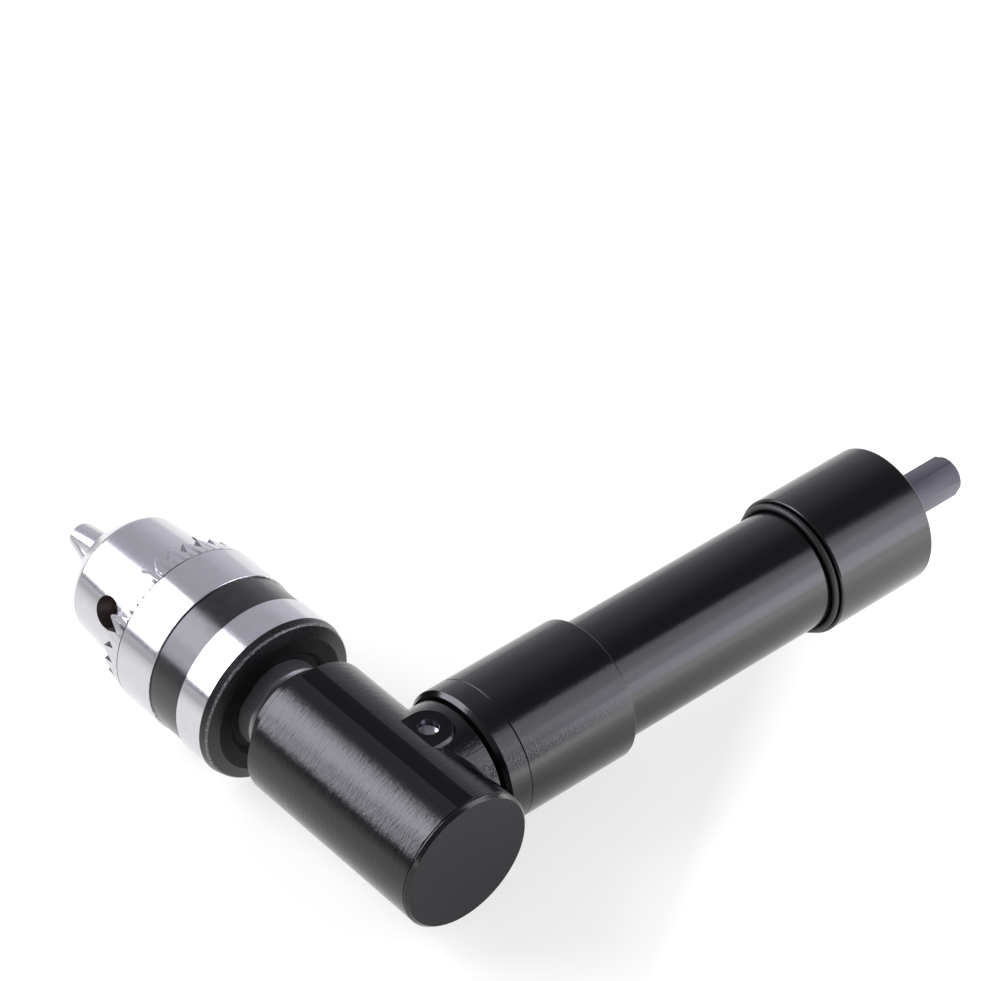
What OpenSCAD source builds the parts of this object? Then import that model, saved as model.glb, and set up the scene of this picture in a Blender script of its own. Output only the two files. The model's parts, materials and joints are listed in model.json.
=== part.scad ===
// Right angle drill attachment: a hex shank drives a pair of mitre gears, and the
// gears turn a spindle that carries a keyed three-jaw chuck.
// Millimetres. The two shaft axes cross at the origin: +X runs along the handle to
// the shank, +Y along the spindle to the chuck's nose, and +Z is the lug's side.

/* [Head] */
// Diameter of the gear head
head_d = 28.16; // [27:0.02:31]
// From the axes' crossing to the head's front face
head_front = 24.5; // [23.5:0.1:26]
// From the axes' crossing to the face of the rear cap
head_rear = 19.85; // [19.4:0.05:23]
// Thickness of the cap's flange that shows behind the head
cap_flange_t = 0.9; // [0.6:0.1:1.2]
// Width of the seam between cap flange and head
cap_seam = 0.15; // [0.1:0.05:0.3]
// Chamfer on the head's rims
head_chamfer = 0.35; // [0.2:0.05:0.6]

/* [Neck and lug] */
// Diameter of the neck that carries the handle
neck_d = 25.8; // [25:0.1:27]
// From the axes' crossing to the end of the neck
neck_end = 14.4; // [14.2:0.1:14.7]
// Diameter of the threaded spigot behind the neck
spigot_d = 23.8; // [23:0.1:24]
// Length of the spigot inside the lock ring and collar
spigot_len = 16.6; // [14:0.1:20]
// Width of the lug beside the neck
lug_w = 9.8; // [8:0.1:11]
// Height of the lug's flat above the axes
lug_top = 13.15; // [13:0.05:13.6]
// From the spindle axis to the lug's hole
lug_reach = 7.9; // [7.5:0.1:8.5]
// Offset of the lug from the handle axis towards the chuck
lug_shift = 0.4; // [0:0.1:1]
// Chamfer round the lug's flat
lug_chamfer = 0.5; // [0.2:0.1:0.8]
// Diameter of the lug's blind hole
lug_hole_d = 4.1; // [3.5:0.1:4.5]
// Straight depth of the lug's blind hole
lug_hole_depth = 1.6; // [1.2:0.1:2]

/* [Handle] */
// Place of the lock ring's front edge
ring_front = 15; // [14.9:0.05:15.2]
// Length of the lock ring
ring_len = 5.25; // [4.5:0.05:6]
// Chamfer on the lock ring's front
ring_chamfer = 0.8; // [0.4:0.1:1]
// Seam between lock ring and collar
ring_seam = 0.06; // [0.04:0.02:0.2]
// Wall of the front collar round the tube; the lock ring is as wide
collar_wall = 2.08; // [1.6:0.02:2.8]
// Length of the front collar
collar_len = 25.4; // [24:0.1:28]
// Outer diameter of the grip tube
tube_d = 24.34; // [24:0.02:25]
// Wall of the grip tube
tube_wall = 1.9; // [1.5:0.1:2.5]
// Grip tube left bare between the two collars
tube_bare = 53; // [45:0.5:70]
// Wall of the rear collar round the tube
rear_wall = 1.91; // [1.6:0.01:2.8]
// Length of the rear collar
rear_len = 24.1; // [23.8:0.1:28]
// Length of rear collar that grips the tube
rear_grip = 8.2; // [7:0.1:9]
// Edge chamfer of collars
collar_chamfer = 0.4; // [0.2:0.1:0.6]
// Thickness of the bead between tube and rear collar
bead_d = 1.3; // [1:0.1:1.6]

/* [Shank] */
// Hex shank across its flats
shank_af = 7.5; // [7:0.1:8]
// Cut of the hex bar's corners, on the radius
shank_corner_cut = 0.08; // [0.02:0.02:0.2]
// Length of hex shank that stands out of the rear collar
shank_out = 18.6; // [12:0.1:30]
// Chamfer on the shank's end
shank_chamfer = 0.5; // [0.3:0.1:0.8]
// Turn of the hex about the handle axis at rest
shank_turn = 12; // [0:1:59]

/* [Bearings] */
// Bore of the bearings behind the spindle's gear and on the input shaft
small_bore_d = 8; // [7.9:0.1:8]
// Bore of the spindle's front bearing
front_bore_d = 10; // [9.6:0.1:10.4]
// Outer diameter of the two spindle bearings and the handle bearing
large_outer_d = 22; // [21.8:0.1:22.2]
// Outer diameter of the bearing in the neck
neck_outer_d = 19; // [18.8:0.1:19.2]
// Width of the rear spindle bearing and the handle bearing
rear_bearing_w = 7; // [6.8:0.1:7.2]
// Width of the spindle's front bearing
front_bearing_w = 6; // [5.8:0.1:6]
// Width of the bearing in the neck
neck_bearing_w = 6; // [5.8:0.1:6.2]
// Balls in each bearing
ball_count = 7; // [5:1:7]

/* [Gears] */
// Module of the mitre gears at their outer end
gear_module = 1; // [0.9:0.02:1]
// Teeth of each mitre gear
gear_teeth = 17; // [16:1:17]
// Length of the gear teeth along the pitch cone
gear_face = 3.4; // [2.8:0.1:3.6]
// Backlash between the gears, along the pitch circle
gear_backlash = 0.16; // [0.12:0.02:0.24]
// Diameter of the gears' hubs
hub_d = 13; // [12:0.1:14]
// Diameter of the cross pins in the hubs
pin_d = 2; // [1.6:0.1:2.4]

/* [Spindle] */
// From the axes' crossing to the front bearing
front_bearing_at = 15.5; // [15.2:0.1:16]
// Diameter of the spindle in the front seal
spindle_neck_d = 12; // [11.6:0.1:12.4]
// Length of the retainer that stands out of the head
retainer_out = 3.6; // [3:0.1:4]
// Diameter of that end of the retainer
retainer_d = 20.8; // [20:0.1:21.4]
// Place of the rear edge of the spindle's collar
hub_at = 29.2; // [28.8:0.1:30]
// Diameter of the spindle's collar
spindle_collar_d = 18; // [17:0.1:19]
// Spanner size across the collar's two flats
flats_af = 17.1; // [16:0.1:17.2]
// Length of the spindle's collar
spindle_collar_len = 4.2; // [4:0.1:5]
// Diameter of the threaded spindle nose
nose_thread_d = 9.52; // [9:0.02:10]
// Length of the threaded spindle nose
nose_thread_len = 12.4; // [11:0.1:13]

/* [Chuck] */
// Diameter of the chuck
chuck_d = 34; // [33:0.1:36]
// Depth of the dark band below the polished rings
band_depth = 0.35; // [0.2:0.05:0.6]
// From the axes' crossing to the chuck's back face
chuck_back = 32.3; // [32.1:0.1:32.6]
// From the back face to the polished rear ring
chuck_bevel_len = 2.35; // [2:0.05:2.6]
// Length of the polished rear ring
rear_ring_len = 6.75; // [6:0.05:8]
// Length of the dark band
band_len = 8.15; // [7:0.05:8.5]
// Length of the sleeve's polished ring
sleeve_len = 9.5; // [9:0.05:10]
// Height of the toothed rim in front of that ring
tooth_rim_len = 5.1; // [5:0.05:5.6]
// Teeth round the sleeve
sleeve_teeth = 30; // [24:1:36]
// Radial width of the toothed rim round the nose
tooth_ring_w = 3; // [2.6:0.1:3.2]
// From the tooth tips to the start of the nose's shoulder
nose_len = 13.1; // [12:0.1:13.2]
// Angle at which the nose narrows from the tooth tips on
nose_taper = 5; // [4:0.5:6]
// Angle of the nose's front cone from the spindle axis
nose_slope = 44; // [42:1:46]
// Radius that rounds the nose's shoulder
nose_shoulder_r = 1.5; // [1:0.1:2]
// Radius that rounds the nose's front edge
nose_lip_r = 5; // [4.6:0.1:5.2]
// Largest shank that the chuck takes
chuck_capacity = 10; // [8:0.5:10]
// Pilot hole for the chuck key
key_hole_d = 6.4; // [6:0.1:6.6]
// Depth of the pilot hole's straight part
key_hole_depth = 5.6; // [5:0.1:6]
// Turn of the key holes about the spindle axis, from +X
key_hole_turn = 202; // [0:1:359]

/* [Jaws] */
// Slope of a jaw to the spindle axis
jaw_slope = 13.5; // [13:0.1:14]
// Diameter of a jaw's round body
jaw_d = 6.4; // [6:0.1:6.6]
// Length of a jaw along its own axis
jaw_len = 37; // [36:0.1:38]
// Diameter of the three closed tips together
jaw_tip_d = 4.6; // [4.2:0.1:5]
// How far the closed jaws stand out of the nose
jaw_out = 8.9; // [8:0.1:9.2]
// Pitch of the thread on the jaws
jaw_pitch = 1.5; // [1:0.1:2]
// Depth of the thread on the jaws
jaw_thread_depth = 0.45; // [0.3:0.05:0.5]

/* [Hidden] */

// True curves: any count above twelve stands for a full circle
$fn = 96;

// Clearances
// Overrun of every cut
over = 0.5;
// Gap of a pressed or screwed seat, on the radius
seat_gap = 0.02;
// Gap between faces that butt
face_gap = 0.05;
// Running gap of the sleeve and the jaws, on the radius
run_gap = 0.07;
// Gap between a ball and its track
ball_gap = 0.07;
// Gap between the spinning gears and what stands still
gear_room = 0.8;

// Bearings: inner diameter, outer diameter and width of each
rear_bearing = [small_bore_d, large_outer_d, rear_bearing_w];
front_bearing = [front_bore_d, large_outer_d, front_bearing_w];
neck_bearing = [small_bore_d, neck_outer_d, neck_bearing_w];
// Ball diameter and shoulder height as shares of the space between the rings
ball_share = 0.57;
shoulder_share = 0.35;
// Cage height and length as shares of the ball diameter
cage_wall_share = 0.3;
cage_len_share = 1.35;

// Mitre gears: the pitch cones meet at the origin at half a right angle
cone_angle = 45;
pitch_r = gear_module * gear_teeth / 2;
cone_len = pitch_r / sin(cone_angle);
pressure_angle = 20;
// Tooth height above and below the pitch cone, in modules
addendum_share = 0.9;
dedendum_share = 1.15;
gear_addendum = addendum_share * gear_module;
gear_dedendum = dedendum_share * gear_module;
gear_tip_r = pitch_r + gear_addendum * cos(cone_angle);
// Shares of the cone length where a tooth starts, and where its cutter starts and ends
face_start_share = 1 - gear_face / cone_len;
cutter_start_share = 0.6 * face_start_share;
cutter_end_share = 1.25;
// Solid rim behind the teeth, in modules
rim_share = 1.6;
gear_rim = rim_share * gear_module;

// Places along the spindle axis
front_bearing_end = front_bearing_at + front_bearing[2];
rear_bearing_end = -(gear_tip_r + gear_room);
rear_bearing_at = rear_bearing_end - rear_bearing[2];
head_back = -head_rear + cap_flange_t + cap_seam;
retainer_end = head_front + retainer_out;
thread_start = hub_at + spindle_collar_len;
thread_end = thread_start + nose_thread_len;
// Spindle circlip and the stub of spindle behind it
clip_t = 0.8;
clip_h = 1.4;
clip_seat = 0.5;
spindle_back = rear_bearing_at - face_gap - clip_t - clip_seat;
// Relief in the cap's plug that clears the circlip
cap_relief_d = 16;
cap_relief_end = spindle_back - face_gap;

// Retainer, its relief over the inner ring, its lip and its seal
retainer_relief_d = 18;
retainer_relief = 0.4;
retainer_lip = 1.5;
seal_w = 2.2;
seal_d = spindle_neck_d + 2 * seal_w;
seal_inset = 0.5;
retainer_slot_w = 2.5;
retainer_slot_depth = 1.2;
retainer_slot_turn = 340;

// Chuck
flats_turn = 225;
collar_bevel = 1;
// Room round the spindle's collar in the chuck's back
collar_room = 1.4;
back_recess_d = spindle_collar_d + 2 * collar_room;
back_recess_flare = 0.8;
bevel_in = 0.42;
bevel_first = 0.8;
// Radial width of the bevelled rim round the back face
back_rim_w = 3;
back_face_d = chuck_d - 2 * back_rim_w;
band_d = chuck_d - 2 * band_depth;
chuck_nose_d = chuck_d - 2 * tooth_ring_w;
band_start = chuck_back + chuck_bevel_len + rear_ring_len;
sleeve_start = band_start + band_len;
sleeve_ring_end = sleeve_start + sleeve_len;
tooth_tip = sleeve_ring_end + tooth_rim_len;
shoulder_start = tooth_tip + nose_len;
// Wall of the sleeve round its journal, and the groove for the split nut
sleeve_wall = 2;
journal_d = chuck_d - 2 * sleeve_wall;
sleeve_wall_front = 1.95;
nut_len = 5.1;
nut_gap = 0.1;
nut_end = tooth_tip - sleeve_wall_front - nut_gap;
nut_start = nut_end - nut_len;
nut_split = 0.1;
// Web that the chuck's screw clamps, and the screw
web_t = 2;
web_gap = 0.4;
web_at = thread_end + web_gap;
screw_d = 5;
screw_len = 11;
screw_head_d = 8.4;
screw_head_h = 3;
screw_socket_af = 4;
screw_socket_depth = 1.8;

// Nose outline
shoulder_start_r = chuck_nose_d / 2 - nose_len * tan(nose_taper);
shoulder_centre_r = shoulder_start_r - nose_shoulder_r * cos(nose_taper);
shoulder_centre = shoulder_start - nose_shoulder_r * sin(nose_taper);
shoulder_end_r = shoulder_centre_r + nose_shoulder_r * cos(nose_slope);
shoulder_end = shoulder_centre + nose_shoulder_r * sin(nose_slope);
bore_r = chuck_capacity / 2 + run_gap;
rim_land = 0.25;
lip_w = 2.93;
lip_start_r = bore_r + lip_w;
lip_start = shoulder_end + (shoulder_end_r - lip_start_r) / tan(nose_slope);
lip_centre_r = lip_start_r - nose_lip_r * cos(nose_slope);
lip_centre = lip_start - nose_lip_r * sin(nose_slope);
lip_end_angle = acos((bore_r + rim_land - lip_centre_r) / nose_lip_r);
nose_front = lip_centre + nose_lip_r * sin(lip_end_angle);

// Toothed rim of the sleeve: taper of its outside, depth of the gaps at the outside
// and at the inside, and half the angle of a gap
rim_taper = 0.9;
tooth_depth_out = 3;
tooth_depth_in = 1.8;
tooth_half_angle = 26;
tooth_turn = 4.3;
rim_tip_r = chuck_d / 2 - rim_taper;
sleeve_chamfer = 0.12;

// Jaws: a jaw's outer side lies on a cone that the closed tips end
tip_end = nose_front + jaw_out;
function jaw_outside(place) = jaw_tip_d / 2 + (tip_end - place) * tan(jaw_slope);
// Groove for the split nut, a little deeper than the nut's bore
nut_room = 0.39;
nut_groove_d = 2 * (jaw_outside(nut_end) - nut_room);
jaw_tip_offset = jaw_tip_d / 2 - jaw_d / 2 / cos(jaw_slope);
jaw_face_gap = 0.04;
jaw_tip_chamfer = 0.25;
jaw_travel = chuck_capacity / 2 / sin(jaw_slope);
jaw_thread_count = 17;
jaw_tail_room = 0.6;
jaw_turn = key_hole_turn + 60;

// Diameters of the two collars
collar_d = tube_d + 2 * collar_wall;
rear_d = tube_d + 2 * rear_wall;

// Places along the handle axis
spigot_end = neck_end + spigot_len;
spigot_gap = 0.21;
ring_end = ring_front + ring_len;
collar_start = ring_end + ring_seam;
collar_end = collar_start + collar_len;
tube_start = spigot_end + spigot_gap;
rear_start = collar_end + tube_bare;
rear_end = rear_start + rear_len;
tube_end = rear_start + rear_grip;
shank_end = rear_end + shank_out;
neck_bearing_at = neck_end - face_gap;
neck_bearing_end = neck_bearing_at + neck_bearing[2];
neck_lip = 0.2;
neck_bore_r = neck_bearing[1] / 2 - neck_lip;
// Rear bearing of the input shaft, then the washer and the circlip behind it
washer_t = 0.8;
circlip_t = 1.1;
circlip_depth = 0.6;
circlip_h = 1.9;
rear_recess = 1.8;
shank_clip_end = rear_end - rear_recess;
shank_clip_at = shank_clip_end - circlip_t;
washer_at = shank_clip_at - face_gap - washer_t;
handle_bearing_at = washer_at - face_gap - rear_bearing[2];
rear_web_bore_d = 19;
hex_start = handle_bearing_at + rear_bearing[2] + face_gap;
shaft_start = pitch_r * face_start_share - gear_dedendum * cos(cone_angle);
shaft_hole_gap = 0.5;

// Gears
hub_start = (pitch_r + gear_dedendum) * cos(cone_angle) + gear_rim;
spindle_hub_end = front_bearing_at;
pinion_hub_end = neck_bearing_at;
gear_bore_r = rear_bearing[0] / 2 + seat_gap;
circlip_gap_angle = 24;

// Turns a shape that is drawn about Z onto the spindle axis or the handle axis
module on_spindle() {
    rotate([-90, 0, 0]) children();
}

module on_handle() {
    rotate([0, 90, 0]) children();
}

// Solid of revolution from points of radius and place
module turned(points) {
    rotate_extrude() polygon(points);
}

// Plain ring between two radii and two places
module ring(inner_r, outer_r, low, high) {
    rotate_extrude()
        translate([inner_r, low])
            square([outer_r - inner_r, high - low]);
}

// Bar between two places
module bar(radius, low, high) {
    translate([0, 0, low]) cylinder(r = radius, h = high - low);
}

// Points of an arc from one angle to another
function arc(centre_r, centre, radius, from, to, steps = 8) = [
    for (step = [0:steps])
        let (angle = from + (to - from) * step / steps)
            [centre_r + radius * cos(angle), centre + radius * sin(angle)]
];

// Ball bearing pieces; bearing holds inner diameter, outer diameter and width
function track_r(bearing) = (bearing[0] + bearing[1]) / 4;
function ball_d(bearing) = ball_share * (bearing[1] - bearing[0]) / 2;

module ball_track(bearing) {
    rotate_extrude()
        translate([track_r(bearing), bearing[2] / 2])
            circle(d = ball_d(bearing) + 2 * ball_gap);
}

module inner_ring(bearing, low) {
    translate([0, 0, low])
        difference() {
            ring(bearing[0] / 2 + seat_gap, track_r(bearing) - shoulder_share * ball_d(bearing),
                0, bearing[2]);
            ball_track(bearing);
        }
}

module outer_ring(bearing, low) {
    translate([0, 0, low])
        difference() {
            ring(track_r(bearing) + shoulder_share * ball_d(bearing), bearing[1] / 2 - seat_gap,
                0, bearing[2]);
            ball_track(bearing);
        }
}

module at_balls(bearing, low) {
    translate([0, 0, low + bearing[2] / 2])
        for (turn = [0:ball_count - 1])
            rotate(turn * 360 / ball_count)
                translate([track_r(bearing), 0, 0])
                    children();
}

module balls(bearing, low) {
    at_balls(bearing, low) sphere(d = ball_d(bearing));
}

module cage(bearing, low) {
    wall = cage_wall_share * ball_d(bearing);
    length = cage_len_share * ball_d(bearing);
    middle = low + bearing[2] / 2;
    difference() {
        ring(track_r(bearing) - wall / 2, track_r(bearing) + wall / 2,
            middle - length / 2, middle + length / 2);
        at_balls(bearing, low)
            rotate([0, 90, 0])
                cylinder(d = ball_d(bearing) + 2 * ball_gap, h = 2 * wall, center = true);
    }
}

// Straight mitre gear with its apex at the origin and its axis on Z.
// A point of the tooth outline lies at a height over the pitch cone, on the back cone
// of the gear's outer end; share moves it along the line to the apex.
virtual_r = pitch_r / cos(cone_angle);
base_r = virtual_r * cos(pressure_angle);
function involute(angle) = tan(angle) * 180 / PI - angle;
function flank_angle(radius) = radius > base_r ? involute(acos(base_r / radius)) : 0;
half_tooth = 90 / gear_teeth * cos(cone_angle) + involute(pressure_angle)
    - gear_backlash / 4 / virtual_r * 180 / PI;
function tooth_angle(height) =
    (half_tooth - flank_angle(virtual_r + height)) / cos(cone_angle);
function on_back_cone(height, angle, share) = share * [
    (pitch_r + height * cos(cone_angle)) * cos(angle),
    (pitch_r + height * cos(cone_angle)) * sin(angle),
    pitch_r - height * sin(cone_angle)
];
// Heights of the gap's outline, from the root past the tip
gap_heights = [
    -gear_dedendum, -0.5 * gear_dedendum, 0, 0.5 * gear_addendum, 1.35 * gear_addendum
];

function gap_rim(share) = concat(
    [for (height = gap_heights) on_back_cone(height, tooth_angle(height), share)],
    [for (index = [len(gap_heights) - 1:-1:0])
        on_back_cone(gap_heights[index],
            360 / gear_teeth - tooth_angle(gap_heights[index]), share)]
);

// Gap between two teeth, as a solid that narrows towards the apex
module tooth_gap() {
    count = len(gap_heights);
    total = 2 * count;
    walls = [
        for (index = [0:total - 1])
            let (after = (index + 1) % total)
                each [[index, total + index, total + after], [index, total + after, after]]
    ];
    // Each end is a strip of triangles between the two flanks
    inner = [
        for (index = [0:count - 2])
            let (across = total - 1 - index)
                each [[index + 1, across, index], [across - 1, across, index + 1]]
    ];
    outer = [for (face = inner) [total + face[0], total + face[2], total + face[1]]];
    polyhedron(
        points = concat(gap_rim(cutter_start_share), gap_rim(cutter_end_share)),
        faces = concat(walls, inner, outer),
        convexity = 4
    );
}

module mitre_gear(hub_end) {
    root = -gear_dedendum;
    tip = gear_addendum;
    inner_tip = on_back_cone(tip, 0, face_start_share);
    outer_tip = on_back_cone(tip, 0, 1);
    outer_root = on_back_cone(root - gear_rim, 0, 1);
    inner_root = on_back_cone(root - gear_rim / 3, 0, face_start_share);
    difference() {
        turned([
            [gear_bore_r, inner_root[2]],
            [inner_root[0], inner_root[2]],
            [inner_tip[0], inner_tip[2]],
            [outer_tip[0], outer_tip[2]],
            [outer_root[0], outer_root[2]],
            [hub_d / 2, outer_root[2]],
            [hub_d / 2, hub_end],
            [gear_bore_r, hub_end]
        ]);
        for (tooth = [0:gear_teeth - 1])
            rotate(tooth * 360 / gear_teeth) tooth_gap();
    }
}

// Head, neck, spigot and lug are one casting
module head_housing() {
    outer_r = head_d / 2;
    color([0.05, 0.05, 0.055])
    difference() {
        union() {
            on_spindle() turned([
                [0, head_back],
                [outer_r, head_back],
                [outer_r, head_front - head_chamfer],
                [outer_r - head_chamfer, head_front],
                [0, head_front]
            ]);
            on_handle() bar(neck_d / 2, 0, neck_end);
            on_handle() bar(spigot_d / 2, 0, spigot_end);
            lug();
        }
        on_spindle() bar(rear_bearing[1] / 2, head_back - over, head_front + over);
        on_handle() bar(neck_bore_r, 0, spigot_end + over);
        on_handle() bar(neck_bearing[1] / 2, neck_bearing_at, spigot_end + over);
        on_handle() ring(0, neck_bearing[1] / 2 + circlip_depth,
            neck_bearing_end + face_gap, neck_bearing_end + face_gap + circlip_t);
        lug_hole();
    }
}

// Flat boss with a round end and a bevelled edge
module lug() {
    round_r = lug_w / 2;
    shoulder = lug_top - lug_chamfer;
    half = [
        [0, 0],
        [round_r, 0],
        [round_r, shoulder],
        [round_r - lug_chamfer, lug_top],
        [0, lug_top]
    ];
    translate([0, lug_shift, 0]) {
        rotate([90, 0, 90]) linear_extrude(lug_reach) {
            polygon(half);
            mirror([1, 0]) polygon(half);
        }
        translate([lug_reach, 0, 0]) turned(half);
    }
}

// Blind hole with the cone that a drill's point leaves
module lug_hole() {
    point_depth = lug_hole_d / 2 / tan(59);
    translate([lug_reach, lug_shift, lug_top - lug_hole_depth]) {
        cylinder(d = lug_hole_d, h = lug_hole_depth + over);
        mirror([0, 0, 1]) cylinder(d1 = lug_hole_d, d2 = 0, h = point_depth);
    }
}

// Flange that shows behind the head, and a plug that holds the rear bearing
module end_cap() {
    outer_r = head_d / 2;
    plug_r = rear_bearing[1] / 2 - seat_gap;
    flange_end = -head_rear + cap_flange_t;
    color([0.16, 0.16, 0.18])
    on_spindle() turned([
        [0, -head_rear],
        [outer_r - head_chamfer, -head_rear],
        [outer_r, -head_rear + head_chamfer],
        [outer_r, flange_end],
        [plug_r, flange_end],
        [plug_r, rear_bearing_at - face_gap],
        [cap_relief_d / 2, rear_bearing_at - face_gap],
        [cap_relief_d / 2, cap_relief_end],
        [0, cap_relief_end]
    ]);
}

// Screwed ring that holds the front bearing and the seal
module front_retainer() {
    thread_r = front_bearing[1] / 2 - seat_gap;
    out_r = retainer_d / 2;
    start = front_bearing_end + face_gap;
    lip_end = start + retainer_lip;
    color([0.04, 0.04, 0.045])
    on_spindle() difference() {
        turned([
            [retainer_relief_d / 2, start],
            [thread_r, start],
            [thread_r, head_front],
            [out_r, head_front],
            [out_r, retainer_end - head_chamfer],
            [out_r - head_chamfer, retainer_end],
            [seal_d / 2, retainer_end],
            [seal_d / 2, lip_end],
            [spindle_neck_d / 2 + shaft_hole_gap, lip_end],
            [spindle_neck_d / 2 + shaft_hole_gap, start + retainer_relief],
            [retainer_relief_d / 2, start + retainer_relief]
        ]);
        for (side = [0, 180])
            rotate(retainer_slot_turn + side)
                translate([seal_d / 2, -retainer_slot_w / 2, retainer_end - retainer_slot_depth])
                    cube([out_r, retainer_slot_w, retainer_slot_depth + over]);
    }
}

module front_seal() {
    color([0.08, 0.08, 0.08])
    on_spindle() ring(spindle_neck_d / 2 + ball_gap, seal_d / 2 - seat_gap,
        front_bearing_end + face_gap + retainer_lip + face_gap, retainer_end - seal_inset);
}

module lock_ring() {
    outer_r = collar_d / 2;
    color([0.05, 0.05, 0.055])
    on_handle() turned([
        [spigot_d / 2 + seat_gap, ring_front],
        [outer_r - ring_chamfer, ring_front],
        [outer_r, ring_front + ring_chamfer],
        [outer_r, ring_end],
        [spigot_d / 2 + seat_gap, ring_end]
    ]);
}

module front_collar() {
    outer_r = collar_d / 2;
    color([0.05, 0.05, 0.055])
    on_handle() turned([
        [spigot_d / 2 + seat_gap, collar_start],
        [outer_r - collar_chamfer / 2, collar_start],
        [outer_r, collar_start + collar_chamfer / 2],
        [outer_r, collar_end - collar_chamfer],
        [outer_r - collar_chamfer, collar_end],
        [tube_d / 2 + seat_gap, collar_end],
        [tube_d / 2 + seat_gap, tube_start - face_gap],
        [spigot_d / 2 + seat_gap, tube_start - face_gap]
    ]);
}

module grip_tube() {
    color([0.05, 0.05, 0.055])
    on_handle() ring(tube_d / 2 - tube_wall, tube_d / 2, tube_start, tube_end);
}

module rear_collar() {
    outer_r = rear_d / 2;
    grip_r = tube_d / 2 + seat_gap;
    bearing_r = rear_bearing[1] / 2;
    color([0.05, 0.05, 0.055])
    on_handle() difference() {
        turned([
            [grip_r, rear_start],
            [outer_r - collar_chamfer, rear_start],
            [outer_r, rear_start + collar_chamfer],
            [outer_r, rear_end - collar_chamfer],
            [outer_r - collar_chamfer, rear_end],
            [bearing_r, rear_end],
            [bearing_r, handle_bearing_at - face_gap],
            [rear_web_bore_d / 2, handle_bearing_at - face_gap],
            [rear_web_bore_d / 2, tube_end + face_gap],
            [grip_r, tube_end + face_gap]
        ]);
        ring(0, bearing_r + circlip_depth, shank_clip_at, shank_clip_end);
    }
}

// Round bead that covers the joint of tube and rear collar
module rear_bead() {
    color([0.06, 0.06, 0.06])
    on_handle() rotate_extrude()
        translate([tube_d / 2 + seat_gap + bead_d / 2, rear_start - face_gap - bead_d / 2])
            circle(d = bead_d);
}

module dust_washer() {
    color([0.3, 0.3, 0.32])
    on_handle() ring(shank_af / 2 / cos(30) + shaft_hole_gap, rear_bearing[1] / 2 - seat_gap,
        washer_at, washer_at + washer_t);
}

// Spring ring that sits in a groove of a bore
module bore_circlip(bore_r, low) {
    color([0.25, 0.25, 0.27])
    on_handle() difference() {
        ring(bore_r + circlip_depth - circlip_h, bore_r + circlip_depth - seat_gap,
            low + seat_gap, low + circlip_t - seat_gap);
        rotate(-circlip_gap_angle / 2)
            rotate_extrude(angle = circlip_gap_angle)
                translate([bore_r - circlip_h, low - over])
                    square([circlip_h + circlip_depth + over, circlip_t + 2 * over]);
    }
}

// Spring ring that grips a shaft
module shaft_circlip(shaft_r, low) {
    difference() {
        ring(shaft_r + seat_gap, shaft_r + clip_h, low, low + clip_t);
        rotate(-circlip_gap_angle)
            rotate_extrude(angle = 2 * circlip_gap_angle)
                translate([shaft_r - over, low - over])
                    square([clip_h + 2 * over, clip_t + 2 * over]);
    }
}

module neck_circlip() {
    bore_circlip(neck_bearing[1] / 2, neck_bearing_end + face_gap);
}

module shank_circlip() {
    bore_circlip(rear_bearing[1] / 2, shank_clip_at);
}

module front_outer_ring() {
    color([0.7, 0.7, 0.72]) on_spindle() outer_ring(front_bearing, front_bearing_at);
}

module rear_outer_ring() {
    color([0.7, 0.7, 0.72]) on_spindle() outer_ring(rear_bearing, rear_bearing_at);
}

module neck_outer_ring() {
    color([0.7, 0.7, 0.72]) on_handle() outer_ring(neck_bearing, neck_bearing_at);
}

module handle_outer_ring() {
    color([0.7, 0.7, 0.72]) on_handle() outer_ring(rear_bearing, handle_bearing_at);
}

module front_inner_ring() {
    color([0.7, 0.7, 0.72]) on_spindle() inner_ring(front_bearing, front_bearing_at);
}

module rear_inner_ring() {
    color([0.7, 0.7, 0.72]) on_spindle() inner_ring(rear_bearing, rear_bearing_at);
}

module neck_inner_ring() {
    color([0.7, 0.7, 0.72]) on_handle() inner_ring(neck_bearing, neck_bearing_at);
}

module handle_inner_ring() {
    color([0.7, 0.7, 0.72]) on_handle() inner_ring(rear_bearing, handle_bearing_at);
}

module front_balls() {
    color([0.8, 0.8, 0.82]) on_spindle() balls(front_bearing, front_bearing_at);
}

module rear_balls() {
    color([0.8, 0.8, 0.82]) on_spindle() balls(rear_bearing, rear_bearing_at);
}

module neck_balls() {
    color([0.8, 0.8, 0.82]) on_handle() balls(neck_bearing, neck_bearing_at);
}

module handle_balls() {
    color([0.8, 0.8, 0.82]) on_handle() balls(rear_bearing, handle_bearing_at);
}

module front_cage() {
    color([0.72, 0.6, 0.3]) on_spindle() cage(front_bearing, front_bearing_at);
}

module rear_cage() {
    color([0.72, 0.6, 0.3]) on_spindle() cage(rear_bearing, rear_bearing_at);
}

module neck_cage() {
    color([0.72, 0.6, 0.3]) on_handle() cage(neck_bearing, neck_bearing_at);
}

module handle_cage() {
    color([0.72, 0.6, 0.3]) on_handle() cage(rear_bearing, handle_bearing_at);
}

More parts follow.
